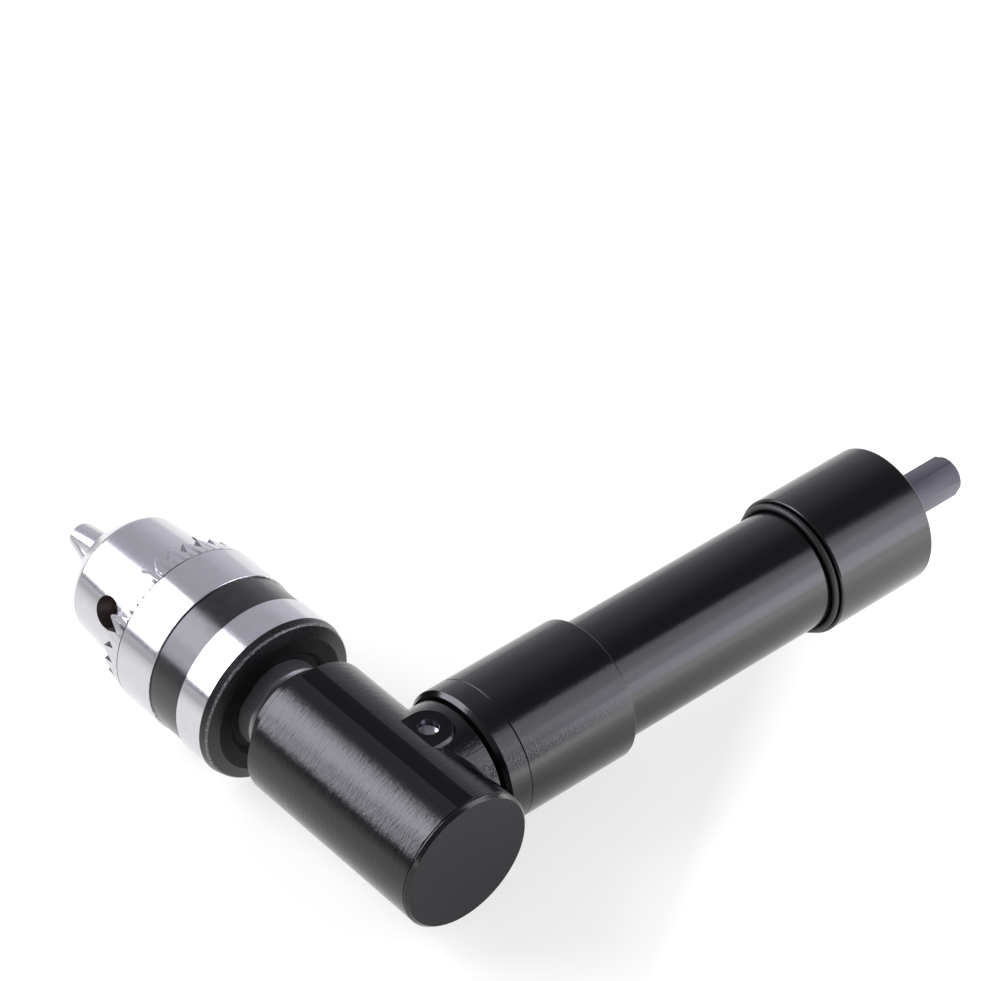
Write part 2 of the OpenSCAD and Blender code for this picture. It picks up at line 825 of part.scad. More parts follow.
// Stepped spindle: gear seat, bearing seat, seal neck, spanner collar, threaded nose
module spindle() {
    gear_seat_r = rear_bearing[0] / 2;
    bearing_seat_r = front_bearing[0] / 2;
    neck_r = spindle_neck_d / 2;
    collar_r = spindle_collar_d / 2;
    nose_r = nose_thread_d / 2;
    color([0.6, 0.6, 0.6])
    on_spindle() difference() {
        turned([
            [0, spindle_back],
            [gear_seat_r, spindle_back],
            [gear_seat_r, front_bearing_at - face_gap],
            [bearing_seat_r, front_bearing_at - face_gap],
            [bearing_seat_r, front_bearing_end],
            [neck_r, front_bearing_end],
            [neck_r, hub_at],
            [collar_r - collar_bevel, hub_at],
            [collar_r, hub_at + collar_bevel],
            [collar_r, thread_start],
            [nose_r, thread_start],
            [nose_r, thread_end],
            [0, thread_end]
        ]);
        for (side = [0, 180])
            rotate(flats_turn + side)
                translate([flats_af / 2, -collar_r, hub_at - over])
                    cube([collar_r, 2 * collar_r, spindle_collar_len + over]);
        bar(screw_d / 2, thread_end - screw_len, thread_end + over);
        cross_hole(pin_d / 2, gear_pin_at());
    }
}

function gear_pin_at() = (hub_start + spindle_hub_end) / 2;
function pinion_pin_at() = (hub_start + pinion_hub_end) / 2;

module cross_hole(radius, place) {
    translate([0, 0, place]) rotate([90, 0, 0])
        cylinder(r = radius, h = hub_d + 2 * over, center = true);
}

module cross_pin(place) {
    translate([0, 0, place]) rotate([90, 0, 0])
        cylinder(r = pin_d / 2 - seat_gap, h = hub_d - 2 * seat_gap - over, center = true);
}

module output_gear() {
    color([0.5, 0.5, 0.52])
    on_spindle() difference() {
        rotate(180 / gear_teeth) mitre_gear(spindle_hub_end - face_gap);
        cross_hole(pin_d / 2, gear_pin_at());
    }
}

module gear_pin() {
    color([0.65, 0.65, 0.67]) on_spindle() cross_pin(gear_pin_at());
}

module spindle_circlip() {
    color([0.25, 0.25, 0.27])
    on_spindle() shaft_circlip(rear_bearing[0] / 2, rear_bearing_at - face_gap - clip_t);
}

// Axis of one jaw, drawn from its tip towards the chuck's back
module along_jaw(turn) {
    rotate(turn)
        translate([jaw_tip_offset, 0, tip_end])
            rotate([0, 180 - jaw_slope, 0])
                children();
}

module chuck_body() {
    outer_r = chuck_d / 2;
    tail = jaw_len + jaw_travel + jaw_tail_room;
    color([0.75, 0.75, 0.77])
    on_spindle() difference() {
        turned(concat(
            [
                [0, chuck_back],
                [back_face_d / 2, chuck_back],
                [outer_r - bevel_in, chuck_back + bevel_first],
                [outer_r, chuck_back + chuck_bevel_len],
                [outer_r, band_start],
                [band_d / 2, band_start],
                [band_d / 2, sleeve_start - face_gap],
                [journal_d / 2, sleeve_start - face_gap],
                [journal_d / 2, nut_start - nut_gap],
                [nut_groove_d / 2, nut_start - nut_gap],
                [nut_groove_d / 2, nut_end + nut_gap],
                [chuck_nose_d / 2, nut_end + nut_gap],
                [chuck_nose_d / 2, tooth_tip]
            ],
            arc(shoulder_centre_r, shoulder_centre, nose_shoulder_r, nose_taper, nose_slope),
            arc(lip_centre_r, lip_centre, nose_lip_r, nose_slope, lip_end_angle),
            [[0, nose_front]]
        ));
        // Recess round the spindle's collar, its flare, and the thread
        turned([
            [0, chuck_back - over],
            [back_recess_d / 2 + back_recess_flare + over, chuck_back - over],
            [back_recess_d / 2, chuck_back + back_recess_flare],
            [back_recess_d / 2, thread_start],
            [0, thread_start]
        ]);
        bar(nose_thread_d / 2 + seat_gap, thread_start - over, web_at);
        bar(screw_d / 2 + seat_gap, web_at - over, web_at + web_t + over);
        bar(bore_r, web_at + web_t, nose_front + over);
        for (jaw = [0:2])
            along_jaw(jaw_turn + jaw * 360 / 3)
                bar(jaw_d / 2 + run_gap, 0, tail);
        for (hole = [0:2])
            rotate(key_hole_turn + hole * 360 / 3)
                translate([0, 0, tooth_tip + key_hole_d / 2 + run_gap])
                    rotate([0, 90, 0])
                        key_hole();
    }
}

// Pilot hole of the chuck key, with a drill's point at its end
module key_hole() {
    floor_r = chuck_nose_d / 2 - key_hole_depth;
    point = key_hole_d / 2 / tan(59);
    bar(key_hole_d / 2, floor_r, chuck_nose_d);
    translate([0, 0, floor_r - point]) cylinder(d1 = 0, d2 = key_hole_d, h = point);
}

module chuck_screw() {
    head_at = web_at + web_t;
    color([0.3, 0.3, 0.32])
    on_spindle() difference() {
        union() {
            bar(screw_d / 2 - seat_gap, thread_end - screw_len + face_gap, head_at + over);
            bar(screw_head_d / 2, head_at, head_at + screw_head_h);
        }
        translate([0, 0, head_at + screw_head_h - screw_socket_depth])
            cylinder(d = screw_socket_af / cos(30), h = screw_socket_depth + over, $fn = 6);
    }
}

// Sleeve: polished ring with a toothed rim that the key's pinion drives
module chuck_sleeve() {
    outer_r = chuck_d / 2;
    journal_r = journal_d / 2 + run_gap;
    front_r = chuck_nose_d / 2 + run_gap;
    lip_at = tooth_tip - sleeve_wall_front;
    fall = atan((tooth_depth_out - tooth_depth_in) / (rim_tip_r - front_r));
    half_width = (tooth_depth_out + over) * tan(tooth_half_angle);
    color([0.78, 0.78, 0.8])
    on_spindle() difference() {
        turned([
            [journal_r, sleeve_start],
            [outer_r - sleeve_chamfer, sleeve_start],
            [outer_r, sleeve_start + sleeve_chamfer],
            [outer_r, sleeve_ring_end],
            [rim_tip_r, tooth_tip],
            [front_r, tooth_tip],
            [front_r, lip_at],
            [journal_r, lip_at]
        ]);
        for (gap = [0:sleeve_teeth - 1])
            rotate(tooth_turn + (gap + 1 / 2) * 360 / sleeve_teeth)
                translate([front_r, 0, tooth_tip - tooth_depth_in])
                    rotate([0, 90 + fall, 0])
                        translate([0, 0, -over])
                            linear_extrude(outer_r - front_r + 4 * over)
                                polygon([
                                    [0, 0],
                                    [-tooth_depth_out - over, half_width],
                                    [-tooth_depth_out - over, -half_width]
                                ]);
    }
}

// Split nut pressed into the sleeve; its cone clears the jaws' thread
module nut_half(turn) {
    low_r = jaw_outside(nut_start) + ball_gap;
    high_r = jaw_outside(nut_end) + ball_gap;
    color([0.55, 0.55, 0.57])
    on_spindle() rotate(turn) difference() {
        turned([
            [low_r, nut_start],
            [journal_d / 2 + run_gap - seat_gap, nut_start],
            [journal_d / 2 + run_gap - seat_gap, nut_end],
            [high_r, nut_end]
        ]);
        translate([-chuck_d / 2, -chuck_d + nut_split / 2, nut_start - over])
            cube([chuck_d, chuck_d, nut_len + 2 * over]);
    }
}

module nut_half_a() {
    nut_half(0);
}

module nut_half_b() {
    nut_half(180);
}

// Jaw: a round bar with two faces at its front that meet the other jaws
module jaw(turn) {
    reach = chuck_d;
    crest = jaw_d / 2 - jaw_thread_depth;
    color([0.72, 0.72, 0.74])
    on_spindle() intersection() {
        difference() {
            along_jaw(turn) bar(jaw_d / 2, -jaw_d, jaw_len);
            along_jaw(turn) jaw_thread(crest);
        }
        rotate(turn) wedge(reach);
        turned([
            [0, -reach],
            [chuck_d, -reach],
            [chuck_d, tip_end - jaw_tip_chamfer - chuck_d + jaw_tip_d / 2],
            [jaw_tip_d / 2 - jaw_tip_chamfer, tip_end],
            [0, tip_end]
        ]);
    }
}

// Third of a circle that one closed jaw fills
module wedge(reach) {
    translate([0, 0, chuck_back])
        linear_extrude(tip_end + over - chuck_back)
            polygon([
                [jaw_face_gap, 0],
                [jaw_face_gap + reach * cos(60), reach * sin(60)],
                [reach, reach * sin(60)],
                [reach, -reach * sin(60)],
                [jaw_face_gap + reach * cos(60), -reach * sin(60)]
            ]);
}

// Thread on the outer side of a jaw, as a row of grooves
module jaw_thread(crest) {
    intersection() {
        rotate_extrude()
            for (groove = [1:jaw_thread_count])
                translate([crest, jaw_len - groove * jaw_pitch])
                    polygon([
                        [0, 0],
                        [jaw_thread_depth + over, -(jaw_thread_depth + over) / 2],
                        [jaw_thread_depth + over, (jaw_thread_depth + over) / 2]
                    ]);
        translate([-jaw_d - jaw_d / 8, -jaw_d, 0])
            cube([jaw_d, 2 * jaw_d, jaw_len]);
    }
}

module jaw_a() {
    jaw(jaw_turn);
}

module jaw_b() {
    jaw(jaw_turn + 360 / 3);
}

module jaw_c() {
    jaw(jaw_turn + 2 * 360 / 3);
}

// Round shaft with a hex shank behind its rear bearing
module input_shaft() {
    seat_r = rear_bearing[0] / 2;
    corner_r = shank_af / 2 / cos(30) - shank_corner_cut;
    color([0.3, 0.3, 0.32])
    on_handle() difference() {
        union() {
            bar(seat_r, shaft_start, hex_start + over);
            intersection() {
                translate([0, 0, hex_start]) rotate(shank_turn)
                    cylinder(d = shank_af / cos(30), h = shank_end - hex_start, $fn = 6);
                turned([
                    [0, hex_start],
                    [corner_r, hex_start],
                    [corner_r, shank_end - shank_chamfer],
                    [corner_r - shank_chamfer, shank_end],
                    [0, shank_end]
                ]);
            }
        }
        cross_hole(pin_d / 2, pinion_pin_at());
    }
}

module input_pinion() {
    color([0.5, 0.5, 0.52])
    on_handle() difference() {
        rotate(90) mitre_gear(pinion_hub_end - face_gap);
        cross_hole(pin_d / 2, pinion_pin_at());
    }
}

module pinion_pin() {
    color([0.65, 0.65, 0.67]) on_handle() cross_pin(pinion_pin_at());
}

module shaft_circlip_front() {
    color([0.25, 0.25, 0.27])
    on_handle() shaft_circlip(rear_bearing[0] / 2, neck_bearing_end + face_gap);
}

module shaft_circlip_rear() {
    color([0.25, 0.25, 0.27])
    on_handle() shaft_circlip(rear_bearing[0] / 2, handle_bearing_at - face_gap - clip_t);
}

head_housing();
end_cap();
front_retainer();
front_seal();
lock_ring();
front_collar();
grip_tube();
rear_collar();
rear_bead();
dust_washer();
neck_circlip();
shank_circlip();
front_outer_ring();
rear_outer_ring();
neck_outer_ring();
handle_outer_ring();
spindle();
output_gear();
gear_pin();
spindle_circlip();
front_inner_ring();
rear_inner_ring();
chuck_body();
chuck_screw();
chuck_sleeve();
nut_half_a();
nut_half_b();
jaw_a();
jaw_b();
jaw_c();
input_shaft();
input_pinion();
pinion_pin();
shaft_circlip_front();
shaft_circlip_rear();
neck_inner_ring();
handle_inner_ring();
front_balls();
front_cage();
rear_balls();
rear_cage();
neck_balls();
neck_cage();
handle_balls();
handle_cage();
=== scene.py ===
# %% [markdown]
# Right angle drill attachment: the looks
#
# A drill turns the hex shank, a pair of mitre gears in the black head turns the corner, and the
# spindle carries a keyed three-jaw chuck. The construction is already packed: this lesson dresses
# it. Each cell makes one piece or one finish, and prints what it made, so that it can be read and
# run from top to bottom. The camera and the light come first, because a polished chuck and a gloss
# black handle show little else than what stands around them.

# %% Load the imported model
import json
import math

import bmesh
import bpy
import numpy as np
from mathutils import Matrix, Vector

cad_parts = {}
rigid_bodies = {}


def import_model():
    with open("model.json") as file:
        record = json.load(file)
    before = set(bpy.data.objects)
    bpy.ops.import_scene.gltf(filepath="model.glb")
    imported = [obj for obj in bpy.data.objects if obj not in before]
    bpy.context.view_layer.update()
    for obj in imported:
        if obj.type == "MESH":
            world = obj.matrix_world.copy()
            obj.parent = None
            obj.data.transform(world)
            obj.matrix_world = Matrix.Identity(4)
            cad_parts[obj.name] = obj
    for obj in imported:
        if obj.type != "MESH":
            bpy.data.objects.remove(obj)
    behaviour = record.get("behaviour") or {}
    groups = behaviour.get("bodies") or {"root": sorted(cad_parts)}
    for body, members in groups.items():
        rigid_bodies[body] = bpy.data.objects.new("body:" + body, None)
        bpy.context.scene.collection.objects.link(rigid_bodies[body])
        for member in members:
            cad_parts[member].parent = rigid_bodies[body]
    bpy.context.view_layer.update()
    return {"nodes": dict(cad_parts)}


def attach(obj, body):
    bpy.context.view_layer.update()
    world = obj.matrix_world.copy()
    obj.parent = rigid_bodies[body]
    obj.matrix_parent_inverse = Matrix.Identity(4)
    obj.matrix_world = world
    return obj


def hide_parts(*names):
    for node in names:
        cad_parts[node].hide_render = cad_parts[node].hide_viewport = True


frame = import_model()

scene = bpy.context.scene
print("Packed nodes:", len(frame["nodes"]))

# %% [markdown]
# Everything on this object is measured in millimetres, and Blender works in metres. One name for
# the millimetre keeps the sizes readable. Every piece is built in place around one of two axes:
# the spindle runs along +Y and the handle along +X, and both pass through the origin.

# %% Units and the two axes
mm = 0.001
around = 192


def on_spindle(radius, place, turn):
    """Points at a radius, a place and a turn about the spindle axis."""
    return np.stack([radius * np.cos(turn), place, -radius * np.sin(turn)], axis=-1) * mm


def on_handle(radius, place, turn):
    """Points at a radius, a place and a turn about the handle axis."""
    return np.stack([place, radius * np.sin(turn), -radius * np.cos(turn)], axis=-1) * mm


def split_on(axis, points):
    """Radius and place in millimetres, and the outward direction, of points on an axis."""
    along, across = (1, [0, 2]) if axis is on_spindle else (0, [1, 2])
    flat = points[:, across]
    radius = np.linalg.norm(flat, axis=1)
    outward = np.zeros_like(points)
    outward[:, across] = flat / np.maximum(radius, 1e-9)[:, None]
    forward = np.zeros(3)
    forward[along] = 1.0
    return radius / mm, points[:, along] / mm, outward, forward


print("Segments around a turned piece:", around)

# %% [markdown]
# The camera stands where the photographer stood. Its place, its turn and its long lens were worked
# out from the ellipses that the round rims make in the picture, so the render can be laid over the
# photograph. A long lens from far away keeps the cylinders almost parallel.

# %% Camera
camera_azimuth = math.radians(-42.7329)
camera_elevation = math.radians(40.7791)
camera_roll = math.radians(2.3007)
camera_place = Vector((-355.117, -406.308, 539.205)) * mm
lens_mm = 156.51

back = Vector((
    math.sin(camera_azimuth) * math.cos(camera_elevation),
    -math.cos(camera_azimuth) * math.cos(camera_elevation),
    math.sin(camera_elevation),
))
right = Vector((math.cos(camera_azimuth), math.sin(camera_azimuth), 0.0))
up = back.cross(right)
rolled_right = right * math.cos(camera_roll) + up * math.sin(camera_roll)
rolled_up = up * math.cos(camera_roll) - right * math.sin(camera_roll)

camera = bpy.data.objects.new("camera", bpy.data.cameras.new("camera"))
camera.data.lens = lens_mm
camera.data.sensor_width = 36.0
camera.data.clip_start = 0.05
camera.matrix_world = Matrix((
    (rolled_right.x, rolled_up.x, back.x, camera_place.x),
    (rolled_right.y, rolled_up.y, back.y, camera_place.y),
    (rolled_right.z, rolled_up.z, back.z, camera_place.z),
    (0.0, 0.0, 0.0, 1.0),
))
scene.collection.objects.link(camera)
scene.camera = camera
print("Camera distance in mm:", round(camera_place.length / mm))

# %% [markdown]
# A shader is a small graph, and every finish below is made from the same few nodes. These helpers
# add a node, join its sockets and hand back the output, so that a finish reads as a short recipe.
# A constant is set on the shader itself, because the exported model keeps it only there.

# %% Helpers that add nodes
finishes = []


def add(material, kind, settings=None, **inputs):
    """Adds a node; an input is a value or another node's output."""
    tree = material.node_tree
    node = tree.nodes.new(kind)
    for name, value in (settings or {}).items():
        setattr(node, name, value)
    for name, value in inputs.items():
        socket = node.inputs[name.replace("_", " ")]
        if isinstance(value, bpy.types.NodeSocket):
            tree.links.new(value, socket)
        else:
            socket.default_value = value
    return node


def new_finish(name, colour, roughness, metallic=0.0, **constants):
    """A material, with its constants set on the shader itself."""
    material = bpy.data.materials.new(name)
    material.use_nodes = True
    shader = material.node_tree.nodes["Principled BSDF"]
    shader.inputs["Base Color"].default_value = (*colour, 1.0)
    shader.inputs["Roughness"].default_value = roughness
    shader.inputs["Metallic"].default_value = metallic
    for key, value in constants.items():
        shader.inputs[key.replace("_", " ")].default_value = value
    finishes.append(name)
    return material


def drive(material, socket, value):
    """Lets a graph set one of the shader's sockets."""
    shader = material.node_tree.nodes["Principled BSDF"]
    material.node_tree.links.new(value, shader.inputs[socket])


def join_values(material, operation, first, second):
    """One value from two, by an operation of the Math node."""
    node = add(material, "ShaderNodeMath", {"operation": operation})
    material.node_tree.links.new(first, node.inputs[0])
    material.node_tree.links.new(second, node.inputs[1])
    return node.outputs["Value"]


def reach_along(material, vector, direction):
    """How far a vector reaches in a direction."""
    node = add(material, "ShaderNodeVectorMath", {"operation": "DOT_PRODUCT"})
    material.node_tree.links.new(vector, node.inputs[0])
    node.inputs[1].default_value = direction
    return node.outputs["Value"]


print("Node helpers ready")

# %% [markdown]
# Metal and paint are never even. A noise pattern, stretched along or across a piece, stands for
# the marks that a tool or a spray gun left, and it drives the colour, the gloss or the height.
# The coordinates are always the object's own: a pattern then stays on the metal when a piece
# turns, and it looks the same from every side.

# %% Helpers for the patterns


def noise(material, per_mm, detail=2.0, rough=0.5, stretch=(1.0, 1.0, 1.0)):
    """Noise from 0 to 1 with about so many features in a millimetre."""
    place = add(material, "ShaderNodeTexCoord").outputs["Object"]
    scale = tuple(share * per_mm / mm for share in stretch)
    mapped = add(material, "ShaderNodeMapping", Vector=place, Scale=scale).outputs["Vector"]
    return add(
        material, "ShaderNodeTexNoise", Vector=mapped, Scale=1.0, Detail=detail, Roughness=rough
    ).outputs["Fac"]


def spread(material, value, low, high, to_low, to_high):
    """Maps a value from one range to another, clamped."""
    return add(
        material, "ShaderNodeMapRange", Value=value, From_Min=low, From_Max=high,
        To_Min=to_low, To_Max=to_high,
    ).outputs["Result"]


def blend_colours(material, factor, first, second):
    """Mixes two colours by a factor. The node's colour sockets have the numbers 6 and 7."""
    node = add(material, "ShaderNodeMix", {"data_type": "RGBA"})
    material.node_tree.links.new(factor, node.inputs[0])
    node.inputs[6].default_value = (*first, 1.0)
    node.inputs[7].default_value = (*second, 1.0)
    return node.outputs[2]


def vary_gloss(material, pattern, low, high):
    """Lets the roughness follow a noise, whose values mostly lie between 0.3 and 0.7."""
    drive(material, "Roughness", spread(material, pattern, 0.3, 0.7, low, high))


def vary_colour(material, pattern, first, second):
    """Lets the colour follow a pattern, from a first colour to a second."""
    drive(material, "Base Color", blend_colours(material, pattern, first, second))


def add_bump(material, height, depth_mm):
    """Raises the surface by a height pattern; a second call adds to the first."""
    shader = material.node_tree.nodes["Principled BSDF"]
    bump = add(material, "ShaderNodeBump", Height=height, Distance=depth_mm * mm, Strength=1.0)
    if shader.inputs["Normal"].is_linked:
        earlier = shader.inputs["Normal"].links[0].from_socket
        material.node_tree.links.new(earlier, bump.inputs["Normal"])
    material.node_tree.links.new(bump.outputs["Normal"], shader.inputs["Normal"])


along_spindle = (0.03, 1.0, 0.03)
streaks_on_head = (0.2, 1.0, 0.2)
along_handle = (1.0, 0.03, 0.03)
even = (0.5, 0.5, 0.5)
print("Pattern helpers ready")

# %% [markdown]
# The black paint is the main finish. A thin gloss layer over a very dark colour sends back about a
# twentieth of the light, so all that shows is the reflection of lamps and table. The head was
# turned before it was painted: fine rings run around it and break up the highlight. The handle's
# collars and tube carry a thicker coat, with a softer shine and the slight waviness that painters
# call orange peel.

# %% Black paints


def black_paint(name, shade, roughness, stretch, ring_depth, peel_depth, rings_per_mm=4.5):
    """Dark paint with turned rings below it and a wavy surface."""
    material = new_finish(name, (shade, shade, shade * 1.1), roughness, IOR=1.5)
    rings = noise(material, rings_per_mm, detail=3.0, rough=0.7, stretch=stretch)
    cloud = noise(material, 0.35, detail=3.0)
    darker = (shade * 0.8, shade * 0.8, shade * 0.9)
    lighter = (shade * 1.2, shade * 1.2, shade * 1.35)
    vary_gloss(material, rings, roughness * 0.85, roughness * 1.2)
    vary_colour(material, cloud, darker, lighter)
    add_bump(material, rings, ring_depth)
    add_bump(material, noise(material, 2.2, detail=2.0), peel_depth)
    return material


head_black = black_paint("head_black", 0.0015, 0.14, streaks_on_head, 0.07, 0.004, 2.0)
collar_black = black_paint("collar_black", 0.0012, 0.15, along_handle, 0.003, 0.012)
ring_black = black_paint("ring_black", 0.002, 0.18, along_handle, 0.002, 0.02)
tube_black = black_paint("tube_black", 0.0012, 0.16, along_handle, 0.001, 0.006)
retainer_black = black_paint("retainer_black", 0.002, 0.2, along_spindle, 0.003, 0.003)
print("Black paints:", len(finishes))

# %% [markdown]
# Four small surfaces are not gloss black. The top of the lug was milled and painted thinly, so it
# is dull, and the hole in it was drilled afterwards and shows bare metal. The cap is painted matt
# grey. The bead and the lip seal are rubber. Each takes one plain shader and a fine grain.

# %% Lug, drilled hole, cap and rubber
lug_black = new_finish("lug_black", (0.003, 0.003, 0.0035), 0.45, IOR=1.2)
vary_gloss(lug_black, noise(lug_black, 4.0), 0.38, 0.52)

bare_hole = new_finish("bare_hole", (0.3, 0.3, 0.32), 0.2, 1.0)
vary_gloss(bare_hole, noise(bare_hole, 4.0), 0.16, 0.28)
add_bump(bare_hole, noise(bare_hole, 3.0), 0.004)

cap_grey = new_finish("cap_grey", (0.014, 0.014, 0.016), 0.5, IOR=1.3)
grain = noise(cap_grey, 9.0, detail=4.0, rough=0.7)
vary_colour(cap_grey, grain, (0.01, 0.01, 0.012), (0.018, 0.018, 0.021))
add_bump(cap_grey, grain, 0.006)

trim_rubber = new_finish("trim_rubber", (0.008, 0.008, 0.008), 0.45, IOR=1.5)
vary_gloss(trim_rubber, noise(trim_rubber, 4.0), 0.38, 0.55)
add_bump(trim_rubber, noise(trim_rubber, 6.0), 0.003)
print("Finishes so far:", len(finishes))

# %% [markdown]
# The chuck's rings and nose are ground and polished around the axis, which leaves rings too fine
# to count. A metal has no colour of its own: its base colour is the tint of what it mirrors, and
# its roughness decides how sharp the mirror is. One recipe with other values also gives the jaws,
# the duller spindle, and what is hidden inside.

# %% Polished steels


def polished_steel(name, shade, roughness, stretch, ring_depth=0.0006, metallic=1.0):
    """Steel that was polished around an axis. A duller, dusty one is less metallic."""
    material = new_finish(name, (shade, shade * 0.985, shade * 1.01), roughness, metallic)
    fine = noise(material, 6.0, detail=3.0, rough=0.7, stretch=stretch)
    smear = noise(material, 0.4, detail=3.0)
    darker = (shade * 0.95, shade * 0.93, shade * 0.95)
    lighter = (shade * 1.03, shade * 1.02, shade * 1.05)
    vary_gloss(material, fine, roughness * 0.8, roughness * 1.25)
    vary_colour(material, smear, darker, lighter)
    add_bump(material, fine, ring_depth)
    return material


chuck_steel = polished_steel("chuck_steel", 0.64, 0.16, along_spindle)
sleeve_steel = polished_steel("sleeve_steel", 0.64, 0.16, along_spindle)
jaw_steel = polished_steel("jaw_steel", 0.58, 0.2, (0.3, 0.1, 0.3))
spindle_steel = polished_steel("spindle_steel", 0.36, 0.36, along_spindle, 0.006, 0.7)
bearing_steel = polished_steel("bearing_steel", 0.72, 0.12, (0.3, 0.3, 0.3))
gear_steel = polished_steel("gear_steel", 0.45, 0.35, even, 0.002)
nut_steel = polished_steel("nut_steel", 0.4, 0.3, even, 0.002)
spring_steel = polished_steel("spring_steel", 0.16, 0.35, even, 0.002)
cage_brass = new_finish("cage_brass", (0.72, 0.5, 0.2), 0.3, 1.0)
vary_gloss(cage_brass, noise(cage_brass, 3.0), 0.25, 0.4)
print("Finishes so far:", len(finishes))

# %% [markdown]
# The band between the rings and the chuck's back are black oxide, a thin dark skin with a bronze tint. It
# isn't a metal to the eye, so these are dark coats with a gloss that follows a noise. On the corner of
# the back the colour jumps between black and light speckles: partly the skin chipped to bare steel,
# partly painted glints that stand for the highlight on that corner. The recess sees little light and
# stays dull. The seam of the sleeve is dull as well, and its dark coat is painted shade for its groove.

# %% Oxide skins
band_oxide = new_finish("band_oxide", (0.005, 0.0045, 0.005), 0.2, IOR=1.62)
patina = noise(band_oxide, 0.5, detail=4.0, rough=0.6)
bronze = spread(band_oxide, patina, 0.45, 0.7, 0.0, 1.0)
vary_colour(band_oxide, bronze, (0.004, 0.004, 0.005), (0.014, 0.009, 0.007))
vary_gloss(band_oxide, patina, 0.17, 0.25)
add_bump(band_oxide, noise(band_oxide, 3.0, detail=3.0), 0.002)

back_oxide = new_finish("back_oxide", (0.005, 0.005, 0.006), 0.3, IOR=1.5)
speckle = noise(back_oxide, 4.0, detail=5.0, rough=0.75)
spots = spread(back_oxide, speckle, 0.6, 0.72, 0.0, 1.0)
vary_colour(back_oxide, spots, (0.003, 0.003, 0.0035), (0.06, 0.055, 0.06))
vary_gloss(back_oxide, speckle, 0.22, 0.4)
add_bump(back_oxide, speckle, 0.02)

# The light speckles on the back's corner are partly chips to bare steel and partly painted glints of the
# highlight there.
worn_and_glint_oxide = new_finish("worn_and_glint_oxide", (0.05, 0.05, 0.05), 0.3, IOR=1.8)
chips_and_glints = noise(worn_and_glint_oxide, 3.2, detail=5.0, rough=0.8)
bare_and_glint_spots = spread(worn_and_glint_oxide, chips_and_glints, 0.5, 0.62, 0.0, 1.0)
vary_colour(worn_and_glint_oxide, bare_and_glint_spots, (0.006, 0.006, 0.007), (0.4, 0.38, 0.4))
vary_gloss(worn_and_glint_oxide, chips_and_glints, 0.3, 0.42)
add_bump(worn_and_glint_oxide, chips_and_glints, 0.03)

recess_oxide = new_finish("recess_oxide", (0.004, 0.0035, 0.004), 0.5, IOR=1.3)
vary_gloss(recess_oxide, noise(recess_oxide, 2.0), 0.42, 0.6)

# The dark coat in the sleeve's seam groove is painted shade.
seam_shade_black = new_finish("seam_shade_black", (0.01, 0.01, 0.011), 0.5)
vary_gloss(seam_shade_black, noise(seam_shade_black, 4.0), 0.4, 0.6)
print("Finishes so far:", len(finishes))

# %% [markdown]
# The teeth are left as the cutter made them, with dark stains on their flanks. The key holes are
# drilled and brownish inside. The shank is a drawn bar: its streaks run along it, and a dull grey
# skin hides half of its shine.

# %% Cut, drilled and drawn steel
flank_steel = new_finish("flank_steel", (0.24, 0.23, 0.24), 0.4, 1.0)
stain = noise(flank_steel, 3.0, detail=5.0, rough=0.7)
clean_part = spread(flank_steel, stain, 0.4, 0.62, 0.0, 1.0)
vary_colour(flank_steel, clean_part, (0.04, 0.037, 0.04), (0.24, 0.23, 0.24))
vary_gloss(flank_steel, stain, 0.5, 0.34)

hole_steel = new_finish("hole_steel", (0.42, 0.38, 0.37), 0.38, 1.0)
vary_colour(hole_steel, noise(hole_steel, 1.5, detail=3.0), (0.12, 0.1, 0.095), (0.42, 0.38, 0.37))
add_bump(hole_steel, noise(hole_steel, 4.0), 0.003)

shank_steel = new_finish("shank_steel", (0.1, 0.1, 0.115), 0.5, 0.5)
drawn = noise(shank_steel, 5.0, detail=3.0, rough=0.6, stretch=(0.05, 1.0, 1.0))
vary_colour(shank_steel, drawn, (0.075, 0.074, 0.088), (0.125, 0.122, 0.14))
vary_gloss(shank_steel, drawn, 0.44, 0.58)
add_bump(shank_steel, drawn, 0.004)
print("Finishes so far:", len(finishes))

# %% [markdown]
# The attachment lies on a white table, a plain pale floor. The table glows a little by itself, so
# that it burns out to white as it does in the photograph. The glow is weak far to the left, where
# the polished chuck mirrors it, and strong to the right, where it lights the handle from below.
# Both directions are measured from the middle of the table by a dot product.

# %% Table
table_z = -17.05
table_reach = 4.0
table_finish = new_finish(
    "table_white", (0.38, 0.385, 0.36), 1.0, Specular_IOR_Level=0.0, Emission_Color=(1.0, 1.0, 1.0, 1.0),
)
on_table = add(table_finish, "ShaderNodeTexCoord").outputs["Object"]
left_distance = reach_along(table_finish, on_table, (-0.735, 0.678, 0.0))
right_distance = reach_along(table_finish, on_table, (0.54, -0.84, 0.0))
left_glow = spread(table_finish, left_distance, 0.09, 0.2, 0.7, 0.05)
right_glow = spread(table_finish, right_distance, 0.05, 0.18, 0.0, 2.4)
drive(table_finish, "Emission Strength", join_values(table_finish, "ADD", left_glow, right_glow))

table_mesh = bpy.data.meshes.new("table")
table_mesh.from_pydata(
    [(-table_reach, -table_reach, table_z * mm), (table_reach, -table_reach, table_z * mm),
     (table_reach, table_reach, table_z * mm), (-table_reach, table_reach, table_z * mm)],
    [], [(0, 1, 2, 3)],
)
table = bpy.data.objects.new("table", table_mesh)
table_mesh.materials.append(table_finish)
scene.collection.objects.link(table)
print("Table at z in mm:", table_z)

# %% [markdown]
# One softbox stands on the left and one on the right behind the object, and they draw the long
# bands along the cylinders. A band is as wide as the lamp looks from the object, so each lamp is
# placed and sized by the window of directions that it fills. A real softbox isn't evenly bright:
# these are built from panels, one above the other, with their own brightness.

# %% Softboxes
light_tint = (1.0, 0.98, 1.1)
lamp_distance = 1.3


